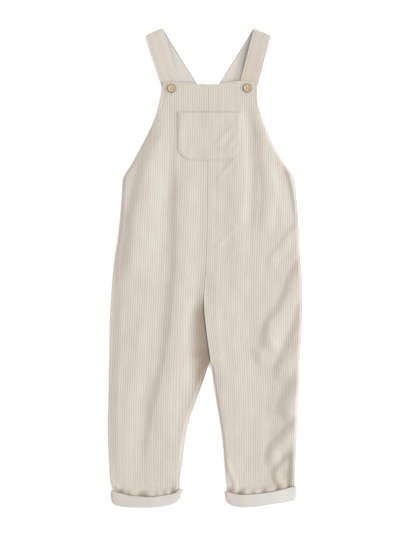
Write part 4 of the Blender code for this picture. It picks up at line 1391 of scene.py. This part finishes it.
def strap_faces(ts, is_face, row_count):
    """Triangles of a strap's wall and ends, and which of them show the wrong side."""
    count = len(ts)
    ring = np.arange(count)
    walls = np.vstack([strip(ring + k * count, ring + (k + 1) * count)
                       for k in range(row_count - 1)])
    caps = []
    for first in (0, (row_count - 1) * count):
        chain = [(t, first + k) for k, t in enumerate(ts)]
        face = [item for item, shown in zip(chain, is_face) if shown]
        plain = sorted(item for item, shown in zip(chain, is_face) if not shown)
        cap = np.array(zip_chains(face, plain))
        caps.append(cap if first == 0 else cap[:, ::-1])
    plain = [1 - is_face[walls % count].min(axis=1), np.ones(sum(map(len, caps)), int)]
    return np.vstack([walls[:, ::-1], *caps]), np.concatenate(plain)


def make_strap(strap):
    """Strap folded over at the shoulder, its ends behind the bib and on the back."""
    strip_of = Strip(strap)
    ts, depth, is_face = strap_section()
    ends = strip_of.back_end(ts)
    wales = (ts + 0.5 * STRAP_WIDTH) * STRAP_WALES / STRAP_WIDTH
    rows = strap_rows(strip_of, ends)
    spots, uv, shade = [], [], []
    for beyond in rows:
        offset = strap_offset(beyond, wales, depth, is_face, strip_of.turn)
        spots.append(strip_of.place(ts, beyond, offset))
        uv.append(np.column_stack([wales, -beyond / WALE_PITCH]))
        # painted shade on the plain side, at its rim and beside the front part
        dark = strap_shade(strap, strip_of, spots[-1], beyond, depth)
        shade.append(dark * (1.0 - is_face))
    triangles, plain = strap_faces(ts, is_face, len(rows))
    # painted light and shade: the strap's face is darker by how far it faces away from the light
    turned = np.tile(0.5 + (strap.turned - 0.5) * is_face, len(rows))
    looks = {"fold_shade": np.concatenate(shade), "turned": turned}
    thing = make_piece("cloth_" + strap.name, np.vstack(spots), triangles,
                       [CORDUROY, STRAP_PLAIN], np.vstack(uv),
                       np.full(len(turned), STRAP_WALE), plain, looks)
    stands_for(thing, strap.name)


# ---- cuffs ----
def cuff_spot(row, side, middle_x, direction):
    """Distance of a point of the section from the slot's middle."""
    up = max(0.0, math.sin(direction))
    flare = CUFF_FLARE[side] * max(0.0, -side * math.cos(direction)) ** 2
    wave = CUFF_WAVE * up * sum(one.share * math.sin(middle_x / one.length + one.phase)
                                for one in CUFF_WAVES)
    level = min(1.0, max(0.0, row.share, row.above / CUFF_SWELL_HEIGHT))
    swell = CUFF_SWELL * up * math.sin(math.pi * level)
    stand_off = (flare + CUFF_STAND_OFF * up) * row.share ** CUFF_FLARE_FORM
    return CUFF_SLOT + stand_off + (CUFF_WALL + swell + wave * row.share) * row.out


def cuff_section(side, middle_x, direction):
    """One section of a cuff's wall, as points."""
    def part(rows):
        return [(cuff_spot(row, side, middle_x, direction), row.above, row.share)
                for row in rows]

    edge = [(CUFF_SLIT + row.out, row.above, 0.0) for row in CUFF_EDGE]
    distance, above, share = np.array(part(CUFF_OUTSIDE) + edge + part(CUFF_INSIDE)).T
    x = middle_x + distance * math.cos(direction)
    z = CUFF_AXIS + distance * math.sin(direction)
    rim = curve(CUFFS[side], x, "x", "rim")
    bottom = curve(CUFFS[side], x, "x", "bottom")
    return np.column_stack([x, bottom + above + (rim - bottom) * share, z])


def cuff_path(ends):
    """Stations round a cuff: the middle of the section, and the way it faces."""
    reach = CUFF_SLOT + CUFF_WALL
    first, last = ends[0].x + reach, ends[-1].x - reach
    even = np.linspace(0.0, 1.0, CUFF_FLAT_STEPS + 1)[:-1]
    shares = CUFF_EVEN * even + (1.0 - CUFF_EVEN) * smooth(even)
    turns = np.linspace(0.0, math.pi, CUFF_END_STEPS + 1)[:-1]
    quarter = 0.5 * math.pi
    path = [(first + (last - first) * s, quarter) for s in shares]
    path += [(last, quarter - a) for a in turns]
    path += [(last + (first - last) * s, -quarter) for s in shares]
    return path + [(first, -quarter - a) for a in turns]


def make_cuff(name, side):
    """Flattened ring round a leg's end: outer wall, fold and the lip it ends in."""
    ends = CUFFS[side]
    rings = [cuff_section(side, x, direction) for x, direction in cuff_path(ends)]
    count, total = len(rings[0]), len(rings)
    triangles = [strip(k * count + np.arange(count), (k + 1) % total * count + np.arange(count))
                 for k in range(total)]
    spots = np.vstack(rings)
    around = length_along(spots[::count, ::2])
    uv = np.column_stack([np.repeat(around, count), spots[:, 1]]) / WALE_PITCH
    share = (spots[:, 0] - ends[0].x) / (ends[-1].x - ends[0].x)
    # painted light and shade along the cuff, by how its cloth is turned to the light
    looks = {"turned": curve(CUFF_TURNED[side], share, "share", "turned")}
    thing = make_piece("cloth_" + name, spots, np.vstack(triangles), [CUFF_PLAIN], uv,
                       np.zeros(len(spots)), looks=looks)
    stands_for(thing, name)


# ---- buttons ----
def button_base(button):
    """Height of a button's base, clear of the highest crest under its edge."""
    angles = np.linspace(0.0, math.tau, BUTTON_SAMPLES)
    xs = button.x + BUTTON_RADIUS * np.cos(angles)
    ys = button.y + BUTTON_RADIUS * np.sin(angles)
    return float(np.max(lie(side_of(button.x), xs, ys) + WALL + WALE)) + BUTTON_CLEAR


def tube_faces(rings, sides, first=0):
    """Faces of a closed tube whose rings of vertices are numbered on from first."""
    faces = []
    for low in range(first, first + (rings - 1) * sides, sides):
        for i in range(sides):
            j = (i + 1) % sides
            faces.append((low + i, low + j, low + sides + j, low + sides + i))
    last = first + (rings - 1) * sides
    return faces + [tuple(range(first, first + sides))[::-1], tuple(range(last, last + sides))]


def lathed(profile, sides):
    """Vertices and faces of a profile of (radius, height) turned round Z."""
    angles = np.arange(sides) * math.tau / sides
    spots = [(radius * math.cos(a), radius * math.sin(a), height)
             for radius, height in profile for a in angles]
    return spots, tube_faces(len(profile), sides)


def button_profile():
    """Section of a button, from its base to the middle of its dish."""
    r, top = BUTTON_RADIUS, BUTTON_THICKNESS
    rim, floor = r - BUTTON_RIM, top - BUTTON_DISH
    return ([(r - row.inwards, row.up) for row in BUTTON_FOOT]
            + [(r - row.inwards, top - row.down) for row in BUTTON_SHOULDER]
            + [(rim + row.outwards, top - row.down) for row in BUTTON_LIP]
            + [(rim - row.inwards, floor + row.up) for row in BUTTON_FLOOR])


def button_holes():
    """Vertices and faces of the four shapes that cut a button's holes."""
    floor, wide = BUTTON_THICKNESS - BUTTON_DISH, BUTTON_HOLE_RADIUS + HOLE_BEVEL
    hole = [(BUTTON_HOLE_RADIUS, -HOLE_BEYOND), (BUTTON_HOLE_RADIUS, floor + HOLE_BEVEL_FROM),
            (wide, floor + HOLE_BEVEL_TO), (wide, BUTTON_THICKNESS + HOLE_BEYOND)]
    spots, faces = [], []
    for across in (-BUTTON_HOLE_OFFSET, BUTTON_HOLE_OFFSET):
        for along in (-BUTTON_HOLE_OFFSET, BUTTON_HOLE_OFFSET):
            faces += tube_faces(len(hole), HOLE_SIDES, len(spots))
            spots += [(x + across, y + along, z) for x, y, z in lathed(hole, HOLE_SIDES)[0]]
    return spots, faces


def make_button(button):
    """Turned disc with a dished middle and four holes."""
    disc = plain_mesh("turned_" + button.name, *lathed(button_profile(), BUTTON_SIDES), WOOD)
    disc.location = Vector((button.x, button.y, button_base(button))) * LENGTH_UNIT
    cutter = plain_mesh("holes_" + button.name, *button_holes(), WOOD)
    cutter.location = disc.location
    cut = disc.modifiers.new("holes", "BOOLEAN")
    cut.object = cutter
    cut.operation = "DIFFERENCE"
    cut.solver = "EXACT"
    graph = bpy.context.evaluated_depsgraph_get()
    cut_mesh = bpy.data.meshes.new_from_object(disc.evaluated_get(graph))
    disc.modifiers.clear()
    disc.data = cut_mesh
    bpy.data.objects.remove(cutter, do_unlink=True)
    stands_for(disc, button.name)


# ---- stitches ----
def sewn_on(thing):
    """Let a piece of sewing go with the cloth."""
    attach(thing, ROOT)


def sewn_thread(name, stitches, radius=STITCH_RADIUS):
    """One mesh of many stitches, each a chain of points with its side direction."""
    spots, faces = [], []
    angles = np.arange(STITCH_SIDES) * math.tau / STITCH_SIDES
    for chain, sideways in stitches:
        faces += flipped(tube_faces(len(chain), STITCH_SIDES, len(spots)))
        upwards = np.cross(sideways, chain[-1] - chain[0])
        upwards = upwards / np.linalg.norm(upwards)
        ring = np.outer(np.cos(angles), sideways) + np.outer(np.sin(angles), upwards)
        for spot, width in zip(chain, STITCH_WIDTHS):
            spots += [tuple(spot + radius * width * out) for out in ring]
    sewn_on(plain_mesh(name, spots, faces, THREAD))


def crests(surface):
    """Function that gives the height of a surface's crests, hems and all."""
    def height(x, y):
        base, thickness, _ = surface(x, y, np.full(np.shape(x), 0.5 * WALE_PITCH))
        return base + thickness

    return height


def row_of_stitches(path, height):
    """Stitches along a flat path; height(x, y) is the cloth they are sewn to."""
    path = resampled(path, PATH_STEP)
    at = length_along(path)
    middles = np.arange(0.5 * STITCH_PITCH, at[-1] - STITCH_END_SHARE * STITCH_PITCH,
                        STITCH_PITCH)
    wanted = middles[:, None] + 0.5 * STITCH_LENGTH * STITCH_PLACES
    x = np.interp(wanted, at, path[:, 0])
    y = np.interp(wanted, at, path[:, 1])
    z = height(x.ravel(), y.ravel()).reshape(x.shape)
    z = z + STITCH_RAISED - STITCH_DIP * STITCH_PLACES ** 2
    stitches = []
    for chain in np.stack([x, y, z], axis=2):
        run = chain[-1] - chain[0]
        sideways = np.array([-run[1], run[0], 0.0])
        stitches.append((chain, sideways / np.linalg.norm(sideways)))
    return stitches


def moved_in(path, inwards):
    """A path moved to its left by a distance."""
    path = resampled(path, 2.0 * PATH_STEP)
    run = np.gradient(path, axis=0)
    run = run / np.hypot(*run.T)[:, None]
    return path + inwards * np.column_stack([-run[:, 1], run[:, 0]])


def sew_armholes_and_bib():
    for side, name in SIDES.items():
        height = crests(front_surface(side))
        armhole, top = hem_lines(side)
        sewn = row_of_stitches(moved_in(armhole, -side * ARMHOLE_HEM[side].width), height)
        sewn += row_of_stitches(moved_in(top, -TOP_HEM.width), height)
        sewn_thread("sewn_hems_" + name, sewn)


def sew_pocket():
    height = crests(pocket_surface)
    edge = moved_in(pocket_outline(), POCKET_STITCH_IN)
    high, low = POCKET_TOP - POCKET_STITCH_TOP, POCKET_TOP - POCKET_HEM.width
    sewn = row_of_stitches(edge[edge[:, 1] < high], height)
    left, right = POCKET_LEFT + POCKET_STITCH_IN, POCKET_RIGHT - POCKET_STITCH_IN
    sewn += row_of_stitches([(left, low), (right, low)], height)
    for x in (POCKET_LEFT + POCKET_SIDE_STITCH, POCKET_RIGHT - POCKET_SIDE_STITCH):
        sewn += row_of_stitches([(x, high), (x, low)], height)
    sewn_thread("sewn_pocket", sewn)


def sew_straps():
    """Two rows along each strap, seen on its face and on its plain side."""
    face = 0.5 * WALL + STRAP_STITCH_RAISED - STRAP_STITCH_DEPTH
    for strap in STRAPS:
        strip_of = Strip(strap)
        sewn = []
        for t in (STRAP_STITCH_IN - 0.5 * STRAP_WIDTH, 0.5 * STRAP_WIDTH - STRAP_STITCH_IN):
            end = float(strip_of.back_end(t)[0]) - STRAP_STITCH_END
            start = STRAP_STITCH_END - STRAP_FRONT_LENGTH
            for middle in np.arange(start, end, STITCH_PITCH):
                level, inwards = (face, -1.0) if middle < strip_of.turn else (-0.5 * WALL, 1.0)
                along = middle + 0.5 * STITCH_LENGTH * STITCH_PLACES
                offset = level + inwards * STITCH_DIP * STITCH_PLACES ** 2
                chain = strip_of.place(np.full(along.shape, t), along, offset)
                sewn.append((chain, np.array([*strip_of.across, 0.0])))
        sewn_thread("sewn_" + strap.name, sewn)


# ---- buttonholes and the thread that holds the buttons ----
def make_buttonhole(button):
    """Close purl stitches round an upright slit in the bib."""
    height = crests(front_surface(side_of(button.x)))
    low, high = button.y - BUTTONHOLE_BELOW, button.y + BUTTONHOLE_ABOVE
    turn = np.radians(np.arange(0.0, 181.0, PURL_TURN))
    bend = BUTTONHOLE_HALF_WIDTH * np.column_stack([np.cos(turn), np.sin(turn)])
    upper, lower = (button.x, high) + bend, (button.x, low) - bend
    ring = resampled(np.vstack([upper, lower, upper[:1]]), PURL_PITCH)[:-1]
    middle_y = np.clip(ring[:, 1], low, high)
    out = ring - np.column_stack([np.full(len(ring), button.x), middle_y])
    out = out / np.hypot(*out.T)[:, None]
    sewn = []
    for spot, way in zip(ring, out):
        flat = spot + np.outer(0.5 * PURL_LENGTH * STITCH_PLACES, way)
        z = height(*flat.T) - PURL_SINK - STITCH_DIP * STITCH_PLACES ** 2
        sewn.append((np.column_stack([flat, z]), np.array([-way[1], way[0], 0.0])))
    sewn_thread("sewn_" + button.name.replace("button", "buttonhole"), sewn, PURL_RADIUS)
    make_slit(button, low, high, height)


def make_slit(button, low, high, height):
    """The slit of a buttonhole, a trough that narrows to both ends, dark with painted shade."""
    ys = np.linspace(low, high, SLIT_ROWS)
    reach = np.abs(ys - 0.5 * (low + high)) / (0.5 * (high - low))
    wide = SLIT_HALF_WIDTH * np.sqrt(np.maximum(1.0 - reach ** SLIT_FORM, SLIT_TIP))
    z = height(np.full(ys.shape, button.x), ys) - SLIT_SINK
    spots = []
    for k, y in enumerate(ys):
        spots += [(button.x - wide[k], y, z[k]), (button.x + wide[k], y, z[k]),
                  (button.x, y, z[k] - SLIT_DEPTH)]
    faces = tube_faces(SLIT_ROWS, 3)
    sewn_on(plain_mesh(button.name.replace("button", "slit"), spots, faces, SLIT))


def tie_button(button):
    """Thread through the holes, one bar on each side."""
    floor = button_base(button) + BUTTON_THICKNESS - BUTTON_DISH
    y = button.y + STITCH_PLACES * (BUTTON_HOLE_OFFSET + SHANK_REACH)
    z = floor + SHANK_RAISED - SHANK_DIP * STITCH_PLACES ** SHANK_FORM
    sewn = []
    for across in (-BUTTON_HOLE_OFFSET, BUTTON_HOLE_OFFSET):
        x = np.full(y.shape, button.x + across)
        sewn.append((np.column_stack([x, y, z]), np.array([1.0, 0.0, 0.0])))
    sewn_thread("tied_" + button.name, sewn, SHANK_RADIUS)


# ---- materials ----
def new_material(name, finish):
    """A principled material and its shader node."""
    material = bpy.data.materials.new(name)
    material.use_nodes = True
    shader = material.node_tree.nodes["Principled BSDF"]
    shader.inputs["Roughness"].default_value = finish.roughness
    shader.inputs["Specular IOR Level"].default_value = finish.specular
    shader.inputs["Sheen Weight"].default_value = finish.sheen
    shader.inputs["Sheen Roughness"].default_value = SHEEN_ROUGHNESS
    return material, shader


def node(material, kind, inputs=(), **settings):
    """A shader node; inputs are (socket, value or another node's socket)."""
    made = material.node_tree.nodes.new(kind)
    for key, value in settings.items():
        setattr(made, key, value)
    for socket, value in inputs:
        if isinstance(value, bpy.types.NodeSocket):
            material.node_tree.links.new(value, made.inputs[socket])
        else:
            made.inputs[socket].default_value = value
    return made


def math_node(material, operation, *values):
    return node(material, "ShaderNodeMath", enumerate(values), operation=operation).outputs[0]


def times(material, first, second):
    """Product of two vectors or colours, part by part."""
    return node(material, "ShaderNodeVectorMath", [(0, first), (1, second)],
                operation="MULTIPLY").outputs[0]


def mixed(material, factor, first, second):
    """From one colour or socket to another, by a factor that may pass 1."""
    ends = [value if isinstance(value, bpy.types.NodeSocket) else (*value, 1.0)
            for value in (first, second)]
    return node(material, "ShaderNodeMix", data_type="RGBA", clamp_factor=False,
                inputs=[("Factor", factor), (6, ends[0]), (7, ends[1])]).outputs[2]


def attribute(material, name):
    return node(material, "ShaderNodeAttribute", attribute_name=name).outputs["Fac"]


def eased(material, value, start, end):
    """0 up to start, 1 from end on."""
    return node(material, "ShaderNodeMapRange",
                [("Value", value), ("From Min", start), ("From Max", end)],
                interpolation_type="SMOOTHSTEP").outputs[0]


def grain(material, place, form):
    """Noise round 0.5, of a form listed under Grain."""
    return node(material, "ShaderNodeTexNoise",
                [("Vector", times(material, place, form.stretch)), ("Scale", form.scale),
                 ("Detail", form.detail), ("Roughness", form.roughness)]).outputs["Fac"]


def bands(material, place, form):
    """Slanting bands, of a form listed under Bands."""
    return node(material, "ShaderNodeTexWave",
                [("Vector", place), ("Scale", form.scale), ("Distortion", form.distortion),
                 ("Detail", form.detail)], bands_direction="DIAGONAL").outputs["Fac"]


def spread(material, *sources):
    """Product of factors round 1, each a pair of noise round 0.5 and its amount."""
    total = None
    for value, amount in sources:
        centred = math_node(material, "SUBTRACT", value, 0.5)
        factor = math_node(material, "MULTIPLY_ADD", centred, 2.0 * amount, 1.0)
        total = factor if total is None else math_node(material, "MULTIPLY", total, factor)
    return total


def coloured(material, shader, colour, factor):
    """Base colour times a factor."""
    made = node(material, "ShaderNodeVectorMath", [(0, colour), ("Scale", factor)],
                operation="SCALE")
    material.node_tree.links.new(made.outputs[0], shader.inputs["Base Color"])


def bumped(material, shader, height, bump):
    made = node(material, "ShaderNodeBump",
                [("Height", height), ("Distance", bump.depth), ("Strength", bump.strength)])
    material.node_tree.links.new(made.outputs["Normal"], shader.inputs["Normal"])


def make_corduroy():
    """Napped wales with painted light and shade: darker and redder in the grooves, where they
    face away from the light and deep in folds.
    """
    material, shader = new_material("corduroy", CORDUROY_FINISH)
    wales = node(material, "ShaderNodeUVMap", uv_map="cloth").outputs["UV"]
    across = node(material, "ShaderNodeSeparateXYZ", [(0, wales)]).outputs["X"]
    # painted shade in the grooves: the colour darkens from a wale's crest to its groove
    from_groove = math_node(material, "PINGPONG", across, 0.5)
    depth = math_node(material, "SUBTRACT", 1.0,
                      eased(material, from_groove, 0.0, GROOVE_SHARE))
    depth = math_node(material, "MULTIPLY", depth, attribute(material, "wale_strength"))
    tint = mixed(material, depth, CORDUROY_CREST, CORDUROY_GROOVE_SHADE)
    fibres, tufts, patches = (grain(material, wales, form)
                              for form in (FIBRES, TUFTS, PATCHES))
    one_wale = math_node(material, "FLOOR", across)
    each = node(material, "ShaderNodeTexWhiteNoise", [("W", one_wale)],
                noise_dimensions="1D").outputs["Value"]
    factor = spread(material, (fibres, FIBRES.amount), (tufts, TUFTS.amount),
                    (patches, PATCHES.amount), (each, WALE_AMOUNT))
    # painted light and shade: a tint by which way the cloth faces the light, which patches shift
    # at random
    stray = math_node(material, "MULTIPLY_ADD", patches, PATCH_TINT, -0.5 * PATCH_TINT)
    turned = math_node(material, "ADD", attribute(material, "turned"), stray)
    tint = times(material, tint, mixed(material, turned, LIT_TINT, TURNED_TINT))
    # painted shade in the fold at the crotch, beside the right half's edge and at the gathers
    tint = mixed(material, attribute(material, "fold_shade"), tint, FOLD_SHADE_COLOUR)
    coloured(material, shader, tint, factor)
    height = math_node(material, "MULTIPLY_ADD", tufts, TUFT_HEIGHT, fibres)
    bumped(material, shader, height, NAP_BUMP)
    return material


def make_plain(name, colour, finish):
    """The wrong side: a fine flat twill."""
    material, shader = new_material(name, finish)
    wales = node(material, "ShaderNodeUVMap", uv_map="cloth").outputs["UV"]
    twill = bands(material, wales, TWILL)
    threads = grain(material, wales, THREADS)
    patches = grain(material, wales, PLAIN_PATCHES)
    factor = spread(material, (threads, THREADS.amount), (twill, TWILL.amount),
                    (patches, PLAIN_PATCHES.amount))
    # painted light and shade by which way the cloth faces the light
    turned = mixed(material, attribute(material, "turned"), LIT_TINT, TURNED_TINT)
    tint = times(material, turned, colour)
    # painted shade on the wrong side, along the straps' edges and beside their front parts
    tint = mixed(material, attribute(material, "fold_shade"), tint, PLAIN_FOLD_SHADE_COLOUR)
    coloured(material, shader, tint, factor)
    height = math_node(material, "MULTIPLY_ADD", twill, TWILL_HEIGHT, threads)
    bumped(material, shader, height, TWILL_BUMP)
    return material


def make_thread():
    """Twisted cotton: fine bands slantwise round the thread."""
    material, shader = new_material("thread", THREAD_FINISH)
    place = node(material, "ShaderNodeTexCoord").outputs["Object"]
    twist = bands(material, place, TWIST)
    coloured(material, shader, THREAD_COLOUR, spread(material, (twist, TWIST.amount)))
    bumped(material, shader, twist, TWIST_BUMP)
    return material


def make_dark():
    """Hardly lit inside of a buttonhole, painted near-black as shade."""
    material, shader = new_material("slit", SLIT_FINISH)
    shader.inputs["Base Color"].default_value = (*SLIT_SHADE_COLOUR, 1.0)
    return material


def make_wood():
    """Turned light wood, darker towards its rim, with fine grain."""
    material, shader = new_material("wood", WOOD_FINISH)
    place = node(material, "ShaderNodeTexCoord").outputs["Object"]
    away = node(material, "ShaderNodeVectorMath",
                [(0, times(material, place, (1.0, 1.0, 0.0)))], operation="LENGTH")
    rim = eased(material, away.outputs["Value"], WOOD_RIM_FROM * LENGTH_UNIT,
                WOOD_RIM_TO * LENGTH_UNIT)
    tint = mixed(material, rim, WOOD_MIDDLE, WOOD_EDGE)
    veins = grain(material, place, WOOD_GRAIN)
    coloured(material, shader, tint, spread(material, (veins, WOOD_GRAIN.amount)))
    return material


def make_floor_material():
    material, shader = new_material("floor", FLOOR_FINISH)
    shader.inputs["Base Color"].default_value = (*FLOOR_COLOUR, 1.0)
    shader.inputs["Emission Color"].default_value = (*WHITE, 1.0)
    shader.inputs["Emission Strength"].default_value = FLOOR_GLOW
    return material


# ---- studio ----
def make_floor():
    half = 0.5 * FLOOR_SIZE
    corners = [(-half, -half, 0.0), (half, -half, 0.0), (half, half, 0.0), (-half, half, 0.0)]
    thing = plain_mesh("floor", corners, [(0, 1, 2, 3)], FLOOR)
    thing.location.z = -FLOOR_DROP * LENGTH_UNIT


def make_light(light):
    """Square soft light, turned to the garment's middle."""
    data = bpy.data.lights.new(light.name, "AREA")
    data.size = light.size
    data.energy = light.power
    thing = linked(light.name, data)
    thing.location = light.spot
    thing.rotation_euler = Vector(light.spot).to_track_quat("Z", "Y").to_euler()


def make_world():
    world = bpy.data.worlds.new("studio")
    world.use_nodes = True
    background = world.node_tree.nodes["Background"]
    background.inputs["Color"].default_value = (*WHITE, 1.0)
    background.inputs["Strength"].default_value = WORLD_STRENGTH
    bpy.context.scene.world = world


def make_camera():
    """Straight down, far enough away for the garment to show without perspective."""
    data = bpy.data.cameras.new("camera")
    data.lens = CAMERA_LENS
    data.sensor_width = CAMERA_SENSOR
    data.clip_end = CAMERA_CLIP_END
    thing = linked("camera", data)
    distance = SHOWN_HEIGHT * CAMERA_LENS / CAMERA_SENSOR
    thing.location = Vector((SHOWN_X, SHOWN_Y, distance)) * LENGTH_UNIT
    bpy.context.scene.camera = thing


# ---- everything ----
CORDUROY = make_corduroy()
PLAIN_SIDE = make_plain("plain_side", PLAIN_COLOUR, PLAIN_FINISH)
STRAP_PLAIN = make_plain("strap_plain", STRAP_PLAIN_COLOUR, PLAIN_FINISH)
CUFF_PLAIN = make_plain("cuff_plain", CUFF_COLOUR, CUFF_FINISH)
THREAD = make_thread()
WOOD = make_wood()
SLIT = make_dark()
FLOOR = make_floor_material()

FRONT_FOLDS = {side: bent(fold for fold in FOLDS if fold.on != -side) for side in SIDES}
BACK_BENDS = bent(BACK_FOLDS)

for side, name in SIDES.items():
    make_front("front_" + name, side)
for side, name in SIDES.items():
    make_back("back_" + name, side)
make_pocket()
for strap in STRAPS:
    make_strap(strap)
for side, name in SIDES.items():
    make_cuff("cuff_" + name, side)
for button in BUTTONS:
    make_button(button)

sew_armholes_and_bib()
sew_pocket()
sew_straps()
for button in BUTTONS:
    make_buttonhole(button)
    tie_button(button)

make_floor()
make_world()
make_light(KEY_LIGHT)
make_camera()
bpy.context.scene.view_settings.view_transform = "Standard"
